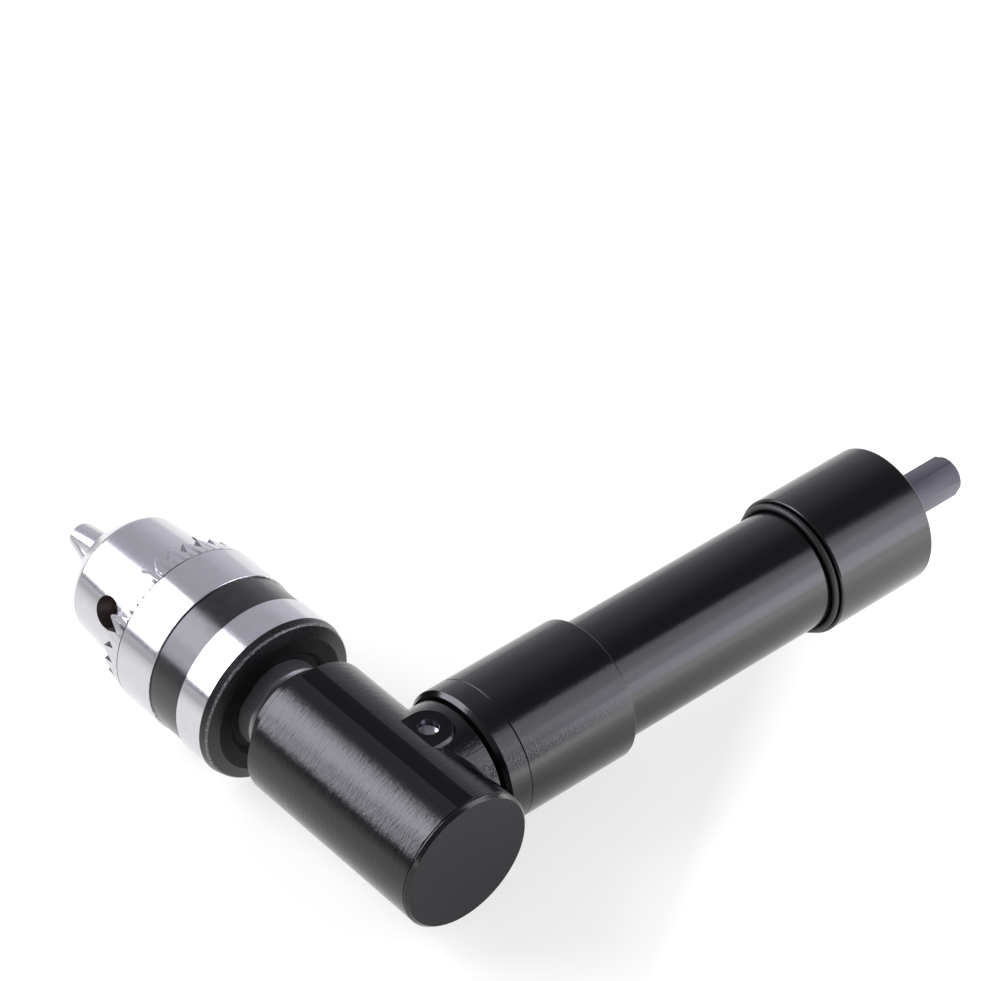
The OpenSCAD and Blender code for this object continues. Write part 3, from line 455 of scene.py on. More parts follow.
def softbox(name, azimuths, elevations, brightness):
    """An area lamp that fills a window of directions seen from the object."""
    azimuth = math.radians(sum(azimuths) / 2)
    elevation = math.radians(sum(elevations) / 2)
    away = Vector((
        math.cos(elevation) * math.cos(azimuth),
        math.cos(elevation) * math.sin(azimuth),
        math.sin(elevation),
    ))
    lamp = bpy.data.lights.new(name, "AREA")
    lamp.shape = "RECTANGLE"
    half_turn = math.radians(abs(azimuths[1] - azimuths[0]) / 2)
    half_rise = math.radians(abs(elevations[1] - elevations[0]) / 2)
    lamp.size = 2 * lamp_distance * math.tan(half_turn) * math.cos(elevation)
    lamp.size_y = 2 * lamp_distance * math.tan(half_rise)
    lamp.energy = brightness * 4 * lamp.size * lamp.size_y
    lamp.color = light_tint
    holder = bpy.data.objects.new(name, lamp)
    turned = away.to_track_quat("Z", "Y").to_matrix().to_4x4()
    holder.matrix_world = Matrix.Translation(away * lamp_distance) @ turned
    holder.visible_camera = False
    scene.collection.objects.link(holder)


panels = [
    ("left_softbox_high", (104, 150), (28, 54), 5.3),
    ("left_softbox_low", (100, 150), (7, 28), 4.2),
    ("right_softbox_high", (-59, -33), (33, 50), 1.7),
    ("right_softbox_middle", (-59, -33), (17, 33), 2.4),
    ("right_softbox_low", (-59, -33), (0, 17), 3.6),
]
for panel in panels:
    softbox(*panel)
print("Softbox panels:", len(panels))

# %% [markdown]
# What no lamp covers is the room, and polished steel shows all of it. Its light is a gradient:
# brightest level with the object and at the far wall, dimmer overhead, darkest behind the camera.
# Two places are darker still: the ceiling on the right, and a low strip below the left softbox,
# which leaves a dark line along the cylinders.

# %% Room
world = bpy.data.worlds.new("room")
world.use_nodes = True
scene.world = world
direction = add(world, "ShaderNodeTexCoord").outputs["Generated"]
height = add(world, "ShaderNodeSeparateXYZ", Vector=direction).outputs["Z"]
by_height = add(world, "ShaderNodeValToRGB", Fac=spread(world, height, -1.0, 1.0, 0.0, 1.0))
levels = by_height.color_ramp.elements
levels[0].position = 0.5
levels[1].position = 0.78
levels.new(0.65)
for level, light in zip(levels, (0.78, 0.7, 0.56)):
    level.color = (*[light * share for share in light_tint], 1.0)


def facing_azimuth(degrees):
    """How far the world's direction points towards an azimuth, from -1 to 1."""
    angle = math.radians(degrees)
    return reach_along(world, direction, (math.cos(angle), math.sin(angle), 0.0))


def product(first, second):
    """Product of two values in the room's graph."""
    return join_values(world, "MULTIPLY", first, second)


far_wall = spread(world, facing_azimuth(45), -1.0, 1.0, 0.4, 1.0)
high_up = spread(world, height, 0.5, 0.7, 0.0, 1.0)
right_side = spread(world, facing_azimuth(-30), 0.2, 0.42, 0.0, 1.0)
right_ceiling = spread(world, product(high_up, right_side), 0.0, 1.0, 1.0, 0.45)
left_side = spread(world, facing_azimuth(145), 0.55, 0.8, 0.0, 1.0)
near_horizon = spread(world, height, 0.1, 0.13, 1.0, 0.0)
under_box = spread(world, product(left_side, near_horizon), 0.0, 1.0, 1.0, 0.22)
background = world.node_tree.nodes["Background"]
world.node_tree.links.new(by_height.outputs["Color"], background.inputs["Color"])
world.node_tree.links.new(
    product(product(far_wall, right_ceiling), under_box), background.inputs["Strength"]
)

scene.view_settings.view_transform = "Standard"
scene.view_settings.look = "None"
print("Light levels by height:", len(levels))

# %% [markdown]
# Most pieces were made on a lathe, so most are made the same way here: an outline of radius and
# place is turned around its axis. A real lathe never leaves a perfectly sharp corner, and
# the thin bright line along each rim is that small rounding. The helper rounds every
# corner, and it knows the exact direction that the surface faces at each point. Those directions
# are kept as the mesh's normals, so a polished cylinder reflects without a ripple.

# %% Outlines with rounded corners
small_round = 0.06


def rounded(corners, closed=True):
    """Outline and its outward normals from corners of radius, place and maybe a rounding."""
    points = [np.array(corner[:2], dtype=float) for corner in corners]
    count = len(points)
    ring = np.array(points)
    following = np.roll(ring, -1, axis=0)
    area = np.sum(ring[:, 0] * following[:, 1] - following[:, 0] * ring[:, 1])
    sense = 1.0 if area > 0 else -1.0
    places = []
    normals = []
    for index, here in enumerate(points):
        ahead = points[(index + 1) % count] - here
        behind = points[index - 1] - here
        first = not closed and index == 0
        last = not closed and index == count - 1
        if first or last:
            line = ahead if first else -behind
            line = line / np.linalg.norm(line)
            places.append(here)
            normals.append(sense * np.array([line[1], -line[0]]))
            continue
        room = 0.45 * min(np.linalg.norm(ahead), np.linalg.norm(behind))
        ahead = ahead / np.linalg.norm(ahead)
        behind = behind / np.linalg.norm(behind)
        half = math.acos(max(-1.0, min(1.0, float(ahead @ behind)))) / 2
        given = len(corners[index]) > 2
        radius = corners[index][2] if given else small_round
        cut = radius / math.tan(half)
        if not given:
            cut = min(cut, room)
        radius = cut * math.tan(half)
        incoming = sense * np.array([-behind[1], behind[0]])
        outgoing = sense * np.array([ahead[1], -ahead[0]])
        middle = (ahead + behind) / np.linalg.norm(ahead + behind)
        centre = here + middle * cut / math.cos(half)
        bulge = -1.0 if float(middle @ incoming) > 0 else 1.0
        swing = math.pi - 2 * half
        steps = max(2, math.ceil(math.degrees(swing) / 11))
        for step in range(steps + 1):
            share = step / steps
            weight_in = math.sin((1 - share) * swing) / math.sin(swing)
            weight_out = math.sin(share * swing) / math.sin(swing)
            normal = incoming * weight_in + outgoing * weight_out
            places.append(centre + bulge * radius * normal)
            normals.append(normal)
    return np.array(places), np.array(normals)


print("Smallest rounding in mm:", small_round)

# %% [markdown]
# The turned mesh is a grid: one row for each point of the outline, one column for each
# segment. Where the outline starts and ends on the axis, the row shrinks to one point, the pole,
# and a fan of triangles closes it. The function returns a plain mesh, and turns its faces over
# where they point against the outline's own directions.

# %% Turning an outline


def turn_grid(rows, closed):
    """Faces of a grid of rows, where a row may be a single pole point."""
    faces = []
    pairs = list(zip(rows, rows[1:]))
    if closed:
        pairs.append((rows[-1], rows[0]))
    for low, high in pairs:
        columns = max(len(low), len(high))
        for column in range(columns):
            after = (column + 1) % columns
            if len(low) == 1:
                faces.append((low[0], high[after], high[column]))
            elif len(high) == 1:
                faces.append((low[column], low[after], high[0]))
            else:
                faces.append((low[column], low[after], high[after], high[column]))
    return faces


def smooth_all(mesh):
    """Marks every face as smooth."""
    mesh.polygons.foreach_set("use_smooth", np.ones(len(mesh.polygons), dtype=bool))


def lathe(name, axis, corners, closed=True, count=around, keep_normals=True):
    """A turned mesh, with its exact normals if they are kept."""
    outline, facing = rounded(corners, closed)
    turns = np.arange(count) * 2 * math.pi / count
    points = []
    normals = []
    rows = []
    for (radius, place), (out, forward) in zip(outline, facing):
        single = radius < 1e-6
        used = turns[:1] if single else turns
        rows.append(list(range(len(points), len(points) + len(used))))
        points.extend(axis(np.full(len(used), radius), np.full(len(used), place), used))
        leaning = 0.0 if single else out
        normals.extend(axis(np.full(len(used), leaning), np.full(len(used), forward), used) / mm)
    mesh = bpy.data.meshes.new(name)
    mesh.from_pydata([tuple(point) for point in points], [], turn_grid(rows, closed))
    mesh.update()
    face = mesh.polygons[len(mesh.polygons) // 2]
    if Vector(normals[face.vertices[0]]).dot(face.normal) < 0:
        mesh.flip_normals()
    if keep_normals:
        smooth_all(mesh)
        mesh.normals_split_custom_set_from_vertices([tuple(normal) for normal in normals])
    return mesh


print("Lathe ready")

# %% [markdown]
# A finished mesh becomes a piece in three steps. It gets its finishes, by a rule of place where it has
# more than one. It rides on a body, so that it moves with the joint. And it replaces the imported node
# that it dresses.

# %% Placing a piece


def place_piece(name, mesh, body, finishes, stands_for, rule=None):
    """Links a mesh, gives it its finishes by a rule of place, and lets it ride on its body."""
    piece = bpy.data.objects.new(name, mesh)
    scene.collection.objects.link(piece)
    mesh.materials.clear()
    for finish in finishes:
        mesh.materials.append(finish)
    if rule:
        for face in mesh.polygons:
            face.material_index = rule(face.center / mm, face.normal)
    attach(piece, body)
    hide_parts(*stands_for)


print("Ready to place pieces")

# %% [markdown]
# Holes, slots and flats are cut with Blender's Boolean modifier. The exact solver is slower
# than the fast one and never leaves a hole in the mesh. Every modifier is used in the same
# way: an object carries it for a moment, and the evaluated result is kept as a plain mesh.

# %% Joining, cutting and other modifiers


def evaluated_copy(holder):
    """The plain mesh that an object's modifiers make."""
    bpy.context.view_layer.update()
    graph = bpy.context.evaluated_depsgraph_get()
    return bpy.data.meshes.new_from_object(holder.evaluated_get(graph))


def with_modifier(mesh, kind, **settings):
    """A mesh after one modifier with its settings."""
    holder = bpy.data.objects.new("holder", mesh)
    scene.collection.objects.link(holder)
    step = holder.modifiers.new("step", kind)
    for name, value in settings.items():
        setattr(step, name, value)
    result = evaluated_copy(holder)
    bpy.data.objects.remove(holder)
    return result


def combine(mesh, others, operation):
    """Joins meshes with, or cuts them from, the first one."""
    main = bpy.data.objects.new("main", mesh)
    scene.collection.objects.link(main)
    helpers = []
    for number, other in enumerate(others):
        helper = bpy.data.objects.new(f"helper_{number}", other)
        scene.collection.objects.link(helper)
        helpers.append(helper)
        step = main.modifiers.new(f"step_{number}", "BOOLEAN")
        step.object = helper
        step.operation = operation
        step.solver = "EXACT"
    result = evaluated_copy(main)
    for helper in [main, *helpers]:
        bpy.data.objects.remove(helper)
    result.name = mesh.name
    return result


print("Modifier helpers ready")

# %% [markdown]
# After a cut the turned surfaces still lie on their outline, so their normals are put back from
# it: each face corner looks for the nearest point of the outline, and takes its direction if the
# face agrees with it. What the outline doesn't know, such as the wall of a drilled hole, is
# smoothed by angle.

# %% Putting the normals back
agreement = math.cos(math.radians(14))


def restore_normals(mesh, turned_surfaces, sharp_degrees=28.0, reach=0.02):
    """Smooths by angle, then sets exact normals where a corner lies on a turned outline."""
    smooth_all(mesh)
    mesh.set_sharp_from_angle(angle=math.radians(sharp_degrees))
    corner_count = len(mesh.loops)
    owners = np.empty(corner_count, dtype=np.int32)
    mesh.loops.foreach_get("vertex_index", owners)
    places = np.empty(len(mesh.vertices) * 3)
    mesh.vertices.foreach_get("co", places)
    places = places.reshape(-1, 3)[owners]
    normals = np.empty(corner_count * 3)
    mesh.corner_normals.foreach_get("vector", normals)
    normals = normals.reshape(-1, 3)
    sizes = np.empty(len(mesh.polygons), dtype=np.int32)
    mesh.polygons.foreach_get("loop_total", sizes)
    faces = np.empty(len(mesh.polygons) * 3)
    mesh.polygons.foreach_get("normal", faces)
    faces = np.repeat(faces.reshape(-1, 3), sizes, axis=0)
    for axis, corners, closed in turned_surfaces:
        outline, facing = rounded(corners, closed)
        starts, ends = outline, np.roll(outline, -1, axis=0)
        start_facing, end_facing = facing, np.roll(facing, -1, axis=0)
        if not closed:
            starts, ends = starts[:-1], ends[:-1]
            start_facing, end_facing = start_facing[:-1], end_facing[:-1]
        radius, place, outward, forward = split_on(axis, places)
        spot = np.stack([radius, place], axis=1)
        best = np.full(corner_count, 1e9)
        chosen = np.zeros((corner_count, 3))
        for start, end, from_facing, to_facing in zip(starts, ends, start_facing, end_facing):
            line = end - start
            share = np.clip((spot - start) @ line / max(float(line @ line), 1e-12), 0.0, 1.0)
            gap = np.linalg.norm(spot - start - share[:, None] * line, axis=1)
            mixed = from_facing + share[:, None] * (to_facing - from_facing)
            exact = mixed[:, :1] * outward + mixed[:, 1:] * forward
            exact /= np.linalg.norm(exact, axis=1)[:, None]
            agrees = np.einsum("ij,ij->i", exact, faces) > agreement
            better = (gap < best - 1e-6) & agrees
            best[better] = gap[better]
            chosen[better] = exact[better]
        take = best < reach
        normals[take] = chosen[take]
    mesh.normals_split_custom_set([tuple(normal) for normal in normals])


print("Faces agree within degrees:", round(math.degrees(math.acos(agreement))))

# %% [markdown]
# The cutters are as simple as the tools they stand for: a drill with its point, and a block for a
# slot or a flat, turned about the spindle. A round cutter has as many sides as its hole should
# show, and its faces are recalculated, because the solver wants closed shapes that point outwards.

# %% Drill and block
drill_sides = 96


def drill(name, start, toward, radius, length, point=0.001):
    """A round cutter from a start point along a direction, with a drill's point at its end."""
    toward = Vector(toward).normalized()
    side = toward.orthogonal().normalized()
    other = toward.cross(side)
    mesh = bmesh.new()
    rings = []
    for place in (0.0, length):
        ring = []
        for step in range(drill_sides):
            angle = 2 * math.pi * step / drill_sides
            offset = side * (radius * math.cos(angle)) + other * (radius * math.sin(angle))
            ring.append(mesh.verts.new((Vector(start) + toward * place + offset) * mm))
        rings.append(ring)
    tip = mesh.verts.new((Vector(start) + toward * (length + point)) * mm)
    mesh.faces.new(rings[0])
    for step in range(drill_sides):
        after = (step + 1) % drill_sides
        mesh.faces.new((rings[0][step], rings[0][after], rings[1][after], rings[1][step]))
        mesh.faces.new((rings[1][step], rings[1][after], tip))
    return finished(mesh, name)


def block(name, low, high, turn):
    """A box between two corners, turned about the spindle axis."""
    mesh = bmesh.new()
    bmesh.ops.create_cube(mesh, size=1.0)
    low = Vector(low)
    high = Vector(high)
    for vertex in mesh.verts:
        share = vertex.co + Vector((0.5, 0.5, 0.5))
        vertex.co = Vector([low[i] + share[i] * (high[i] - low[i]) for i in range(3)]) * mm
    bmesh.ops.rotate(mesh, verts=mesh.verts, matrix=Matrix.Rotation(math.radians(turn), 3, "Y"))
    return finished(mesh, name)


def finished(mesh, name):
    """A plain mesh from an edited one, with all faces pointing outwards."""
    bmesh.ops.recalc_face_normals(mesh, faces=mesh.faces)
    result = bpy.data.meshes.new(name)
    mesh.to_mesh(result)
    mesh.free()
    return result


def spindle_direction(degrees):
    """Outward direction at a turn about the spindle axis."""
    return Vector((math.cos(math.radians(degrees)), 0.0, -math.sin(math.radians(degrees))))


print("Sides of a drilled hole:", drill_sides)

# %% [markdown]
# The gear head, its neck and the drilled lug are one casting, so they become one mesh: a
# short cylinder across the handle, the neck that runs into it, and a flat boss with a round
# end beside them. The edge where neck meets head is left crisp, because it reads as a dark line
# in the photograph. The casting is hollow, as the real one is, for the gears and bearings.

# %% Outlines of head and neck
head_r = 14.08
head_back = -18.8
head_front = 24.5
head_bore_r = 11.0
neck_r = 12.9
neck_end = 14.4
neck_bore_r = 9.3
neck_seat_r = 9.5
neck_seat_at = 14.35
spigot_r = 11.9
spigot_end = 31.0
over = 2

head_outline = [
    (0, head_back), (head_r, head_back, 0.12), (head_r, head_front, 0.3), (0, head_front),
]
neck_outline = [
    (0, 0), (neck_r, 0), (neck_r, neck_end, 0.18), (spigot_r, neck_end), (spigot_r, spigot_end),
    (0, spigot_end),
]
head_bore = [
    (0, head_back - over), (head_bore_r, head_back - over), (head_bore_r, head_front + over),
    (0, head_front + over),
]
neck_bore = [
    (0, 0), (neck_bore_r, 0), (neck_bore_r, neck_seat_at), (neck_seat_r, neck_seat_at),
    (neck_seat_r, spigot_end + over), (0, spigot_end + over),
]
print("Head length in mm:", head_front - head_back)

# %% [markdown]
# The lug isn't round, so it can't be turned. Its outline from above is two straight sides and a
# half circle, and each step of its bevel is that outline, a little smaller and a little higher.

# %% Lug
lug_half = 4.9
lug_shift = 0.4
lug_reach = 7.9
lug_top = 13.15
lug_bevel = 0.5
lug_hole_r = 2.05
lug_hole_depth = 1.6
lug_steps = 48


def lug_mesh():
    """Boss with straight sides, a round end and a softly rounded bevel round its flat."""
    profile, _ = rounded([
        (0, 0), (lug_half, 0), (lug_half, lug_top - 0.55, 0.35), (lug_half - lug_bevel, lug_top, 0.35),
        (0, lug_top),
    ], closed=False)
    mesh = bmesh.new()
    rows = []
    for offset, height in profile[1:-1]:
        row = [mesh.verts.new(Vector((0, lug_shift - offset, height)) * mm)]
        for step in range(lug_steps + 1):
            angle = -math.pi / 2 + math.pi * step / lug_steps
            row.append(mesh.verts.new(Vector((
                lug_reach + offset * math.cos(angle), lug_shift + offset * math.sin(angle), height,
            )) * mm))
        row.append(mesh.verts.new(Vector((0, lug_shift + offset, height)) * mm))
        rows.append(row)
    for low, high in zip(rows, rows[1:]):
        for step in range(len(low)):
            after = (step + 1) % len(low)
            mesh.faces.new((low[step], low[after], high[after], high[step]))
    mesh.faces.new(rows[0])
    mesh.faces.new(rows[-1])
    return finished(mesh, "lug")


print("Lug width in mm:", 2 * lug_half)

# %% [markdown]
# Now the three shapes are joined and the bores cut. The order matters: a union first, so that the
# bores run through all of it. The faces then get their finish by where they lie, because the top
# of the lug is milled and its hole is bare.

# %% Gear head, neck and lug
head_mesh = lathe("head", on_spindle, head_outline, closed=False, keep_normals=False)
head_mesh = combine(head_mesh, [
    lathe("neck", on_handle, neck_outline, closed=False, keep_normals=False),
    lug_mesh(),
], "UNION")
head_mesh = combine(head_mesh, [
    lathe("head_bore", on_spindle, head_bore, closed=False, keep_normals=False),
    lathe("neck_bore", on_handle, neck_bore, closed=False, keep_normals=False),
    drill(
        "lug_hole", (lug_reach, lug_shift, lug_top + 1), (0, 0, -1), lug_hole_r, lug_hole_depth + 1, 1.23,
    ),
], "DIFFERENCE")
restore_normals(head_mesh, [
    (on_spindle, head_outline, False), (on_handle, neck_outline, False),
])


def head_finish(centre, normal):
    """0 turned, 1 milled top of the lug, 2 hole in the lug."""
    from_hole = math.hypot(centre.x - lug_reach, centre.y - lug_shift)
    if from_hole < lug_hole_r + 0.05 and lug_top - 3.65 < centre.z < lug_top - 0.03:
        return 2
    on_lug = centre.z > lug_top - 0.05 and centre.x < lug_reach + lug_half + 0.2
    return 1 if normal.z > 0.99 and on_lug else 0


place_piece(
    "gear_head", head_mesh, "housing", [head_black, lug_black, bare_hole], ["head_housing"],
    rule=head_finish,
)
print("Gear head faces:", len(head_mesh.polygons))

# %% [markdown]
# The cap closes the head from behind. Only its flange shows: a flat disc, painted matt grey
# behind and gloss black round its rim, with a narrow dark seam in front of it. It is turned, and
# the direction of a face decides its paint.

# %% Cap
cap_back = -19.85
cap_front = -18.95
cap_face_r = 13.45
plug_r = 10.98
plug_front = -16.99
rear_seat_r = 8.0
rear_seat_at = -18.336
cap_outline = [
    (0, cap_back), (cap_face_r, cap_back, 0.12), (head_r, -19.2, 0.12), (head_r, cap_front, 0.05),
    (plug_r, cap_front), (plug_r, plug_front), (rear_seat_r, plug_front), (rear_seat_r, rear_seat_at),
    (0, rear_seat_at),
]
cap_mesh = lathe("cap", on_spindle, cap_outline, closed=False)
place_piece(
    "rear_cap", cap_mesh, "housing", [cap_grey, head_black], ["end_cap"],
    rule=lambda centre, normal: 0 if normal.y < -0.8 else 1,
)
print("Cap faces:", len(cap_mesh.polygons))

# %% [markdown]
# In front of the head the screwed retainer stands out with two spanner slots, and a rubber lip
# seal sits around the spindle in it. The slots are blocks, cut from the turned ring.

# %% Retainer and seal
retainer_front = 28.1
retainer_r = 10.4
retainer_bore_r = 8.2
slot_half = 1.25
slot_floor = 26.9
retainer_outline = [
    (9.0, 21.55), (plug_r, 21.55), (plug_r, head_front), (retainer_r, head_front),
    (retainer_r, retainer_front, 0.2), (retainer_bore_r, retainer_front, 0.12),
    (retainer_bore_r, 23.05), (6.5, 23.05), (6.5, 21.95), (9.0, 21.95),
]
retainer_mesh = lathe("retainer", on_spindle, retainer_outline, keep_normals=False)
retainer_mesh = combine(retainer_mesh, [
    block(f"slot_{turn}", (7.6, slot_floor, -slot_half), (12.0, 29.0, slot_half), turn)
    for turn in (340, 160)
], "DIFFERENCE")
restore_normals(retainer_mesh, [(on_spindle, retainer_outline, True)])
place_piece("retainer", retainer_mesh, "housing", [retainer_black], ["front_retainer"])

seal_outline = [
    (6.12, 23.1), (8.18, 23.1), (8.18, 27.6, 0.2), (7.4, 27.6, 0.15), (7.2, 27.1, 0.2), (6.7, 27.1, 0.2),
    (6.4, 27.5, 0.12), (6.12, 27.5),
]
seal_mesh = lathe("seal", on_spindle, seal_outline)
place_piece("lip_seal", seal_mesh, "housing", [trim_rubber], ["front_seal"])
print("Retainer and seal faces:", len(retainer_mesh.polygons), len(seal_mesh.polygons))

# %% [markdown]
# The handle is a tube between two thick collars. A narrow lock ring keeps the front collar
# from turning, and the chamfer in front of it catches the left lamp. A round rubber bead
# covers the joint between tube and rear collar. They are all plain turned pieces, and their
# small chamfers, seams and gaps are what tells one from the next.

# %% Lock ring, collars, tube and bead
collar_r = 14.25
spigot_fit_r = 11.92
ring_start = 15.0
ring_end = 20.25
front_collar_start = 20.31
front_collar_end = 45.71
tube_r = 12.17
tube_fit_r = 12.19
tube_bore_r = 10.27
tube_start = 31.21
tube_end = 106.91
rear_r = 14.08
rear_start = 98.71
rear_end = 122.81
rear_bore_r = 11.0
stop_end = 106.96

ring_outline = [
    (spigot_fit_r, ring_start), (13.45, ring_start, 0.12), (collar_r, 15.8, 0.25),
    (collar_r, ring_end, 0.12), (spigot_fit_r, ring_end),
]
front_collar_outline = [
    (spigot_fit_r, front_collar_start), (collar_r, front_collar_start, 0.2),
    (collar_r, front_collar_end, 0.4), (tube_fit_r, front_collar_end), (tube_fit_r, 31.16),
    (spigot_fit_r, 31.16),
]
tube_outline = [
    (tube_bore_r, tube_start), (tube_r, tube_start), (tube_r, tube_end), (tube_bore_r, tube_end),
]
rear_collar_outline = [
    (tube_fit_r, rear_start), (rear_r, rear_start, 0.4), (rear_r, rear_end, 0.4),
    (rear_bore_r, rear_end, 0.12), (rear_bore_r, 121.01), (11.6, 121.01), (11.6, 119.91),
    (rear_bore_r, 119.91), (rear_bore_r, 111.96), (9.5, 111.96), (9.5, stop_end), (tube_fit_r, stop_end),
]
handle_parts = [
    ("lock_ring_piece", ring_outline, ring_black, "lock_ring", "ring_black"),
    ("front_collar_piece", front_collar_outline, collar_black, "front_collar", "collar_black"),
    ("handle_tube", tube_outline, tube_black, "grip_tube", "tube_black"),
    ("rear_collar_piece", rear_collar_outline, collar_black, "rear_collar", "collar_black"),
]
for name, outline, finish, node, slot in handle_parts:
    place_piece(name, lathe(name, on_handle, outline), "housing", [finish], [node])

bead_r = 12.84
bead_at = 98.01
bead_half = 0.65
bead_turns = [2 * math.pi * step / 24 for step in range(24)]
bead_outline = [
    (bead_r + bead_half * math.cos(turn), bead_at + bead_half * math.sin(turn)) for turn in bead_turns
]
bead_mesh = lathe("bead", on_handle, bead_outline)
place_piece("rubber_bead", bead_mesh, "housing", [trim_rubber], ["rear_bead"])
print("Handle pieces:", len(handle_parts) + 1)

# %% [markdown]
# At the end of the handle a thin washer keeps dust out of the bearing, and a spring ring
# holds it. The shank is a hex bar. It is turned as well, with a radius that follows the
# hexagon: the nearest flat decides how far the surface lies from the axis, and the turned chamfer
# at its end cuts the six corners to the curved edges that a real hex bar has.

# %% Washer and hex shank
washer_start = 119.06
washer_end = 119.86
washer_mesh = lathe("washer", on_handle, [
    (5.12, washer_start), (10.98, washer_start), (10.98, washer_end), (5.12, washer_end),
])
place_piece("dust_washer_piece", washer_mesh, "housing", [spring_steel], ["dust_washer"])

hex_flat = 3.75
hex_turn = 12.0
hex_start = 119.1
corner_r = 4.25
shaft_r = 4.0
shank_end = 141.41
end_chamfer = 0.5
shaft_outline = [
    (0, 5.6), (shaft_r, 5.6), (shaft_r, washer_start, 0.02), (corner_r, washer_start, 0.03),
    (corner_r, shank_end - end_chamfer, 0.15), (corner_r - end_chamfer, shank_end, 0.12), (0, shank_end),
]


def hex_limit(turn):
    """Distance from the axis to the hexagon's side at a turn."""
    within = (math.degrees(turn) - hex_turn) % 60.0 - 30.0
    return hex_flat / math.cos(math.radians(within))


shaft_mesh = lathe("shaft", on_handle, shaft_outline, closed=False, count=360, keep_normals=False)
for vertex in shaft_mesh.vertices:
    if vertex.co.x / mm < hex_start:
        continue
    flat = Vector((0.0, vertex.co.y, vertex.co.z))
    if flat.length < 1e-7:
        continue
    turn = math.atan2(vertex.co.y, -vertex.co.z)
    allowed = hex_limit(turn) * mm
    if flat.length > allowed:
        flat = flat.normalized() * allowed
        vertex.co.y = flat.y
        vertex.co.z = flat.z
restore_normals(shaft_mesh, [(on_handle, shaft_outline, False)], sharp_degrees=22.0, reach=0.004)
place_piece("hex_shank_piece", shaft_mesh, "input", [shank_steel], ["input_shaft"])
print("Shank faces:", len(shaft_mesh.polygons))

# %% [markdown]
# The spindle comes out of the seal, widens to a collar with two spanner flats and ends in the
# thread that holds the chuck. Only the collar shows, in the dark gap between head and chuck. Its
# bright bevel is worth having, because the eye finds it at once.

# %% Spindle
spindle_collar_r = 9.0
hub_start = 29.2
hub_end = 33.35
thread_r = 4.76
thread_end = 45.8
flat_at = 8.55
spindle_outline = [
    (0, -18.29), (4.0, -18.29), (4.0, 15.45), (5.0, 15.45), (5.0, 21.5), (6.0, 21.5),
    (6.0, hub_start, 0.12), (8.0, hub_start, 0.12), (spindle_collar_r, 30.2, 0.15),
    (spindle_collar_r, hub_end), (thread_r, hub_end), (thread_r, thread_end), (0, thread_end),
]
spindle_mesh = lathe("spindle", on_spindle, spindle_outline, closed=False, keep_normals=False)
spindle_mesh = combine(spindle_mesh, [
    block(f"flat_{turn}", (flat_at, 28.9, -9.5), (12.0, 33.5, 9.5), turn) for turn in (225, 45)
], "DIFFERENCE")
restore_normals(spindle_mesh, [(on_spindle, spindle_outline, False)])
place_piece("spindle_piece", spindle_mesh, "spindle", [spindle_steel], ["spindle"])
print("Spindle faces:", len(spindle_mesh.polygons))

# %% [markdown]
# The chuck's body is one turned outline: black back, polished ring, sunk black band, the journal
# under the sleeve, the groove for the split nut, and the nose, which tapers a little, turns a
# crisp corner into a cone and ends in a rounded lip. The sizes that the sleeve and the jaws share
# with it are named here.

# %% Outline of the chuck's body
chuck_r = 17.0
body_back = 32.3
bevel_end = 34.65
band_r = 16.65
band_start = 41.4
band_end = 49.5
body_journal_r = 15.0
nut_groove_start = 56.9
nut_groove_r = 9.35
rim_lip_at = 62.2
tooth_tip = 64.15
nose_r = 14.0
nose_corner = (12.8076, 77.7792, 1.5)
mouth_corner = (6.8903, 83.9067, 5.0)
mouth_r = 5.07
nose_front = 84.1995
web_front = 48.2
web_back = 46.2
screw_hole_r = 2.52
thread_hole_r = 4.78
recess_r = 10.4
recess_front = 33.4
body_outline = [
    (11.2, body_back, 0.15), (14.0, body_back, 0.3), (16.58, 33.1, 0.55), (chuck_r, bevel_end, 0.12),
    (chuck_r, band_start, 0.1), (band_r, band_start), (band_r, band_end), (body_journal_r, band_end),
    (body_journal_r, nut_groove_start), (nut_groove_r, nut_groove_start), (nut_groove_r, rim_lip_at),
    (nose_r, rim_lip_at), (nose_r, tooth_tip), nose_corner, mouth_corner, (5.32, nose_front, 0.03),
    (mouth_r, nose_front), (mouth_r, web_front), (screw_hole_r, web_front), (screw_hole_r, web_back),
    (thread_hole_r, web_back), (thread_hole_r, recess_front), (recess_r, recess_front), (recess_r, 33.1),
]
print("Corners of the body:", len(body_outline))

# %% [markdown]
# Three slanted bores carry the jaws, and three pilot holes beside the teeth take the nose of the
# chuck key. Each is a drill on its own axis, and all six are cut in one step.

# %% Jaw bores and key holes
jaw_slope = math.radians(13.5)
jaw_turns = {"jaw_a": 262.0, "jaw_b": 22.0, "jaw_c": 142.0}
tip_end = 93.0995
jaw_r = 3.2
jaw_gap = 0.07
tip_r = 2.3
jaw_start = tip_r - jaw_r / math.cos(jaw_slope)
bore_length = 59.0
key_y = 67.42
key_turns = (202.0, 322.0, 82.0)
key_hole_r = 3.2
key_from = 20.0
key_length = 11.6
key_point = 1.92


def jaw_axis(degrees):
    """Start of a jaw's axis at the tips, and its direction towards the chuck's back."""
    outward = spindle_direction(degrees)
    start = outward * jaw_start + Vector((0.0, tip_end, 0.0))
    toward = outward * math.sin(jaw_slope) - Vector((0.0, math.cos(jaw_slope), 0.0))
    return start, toward


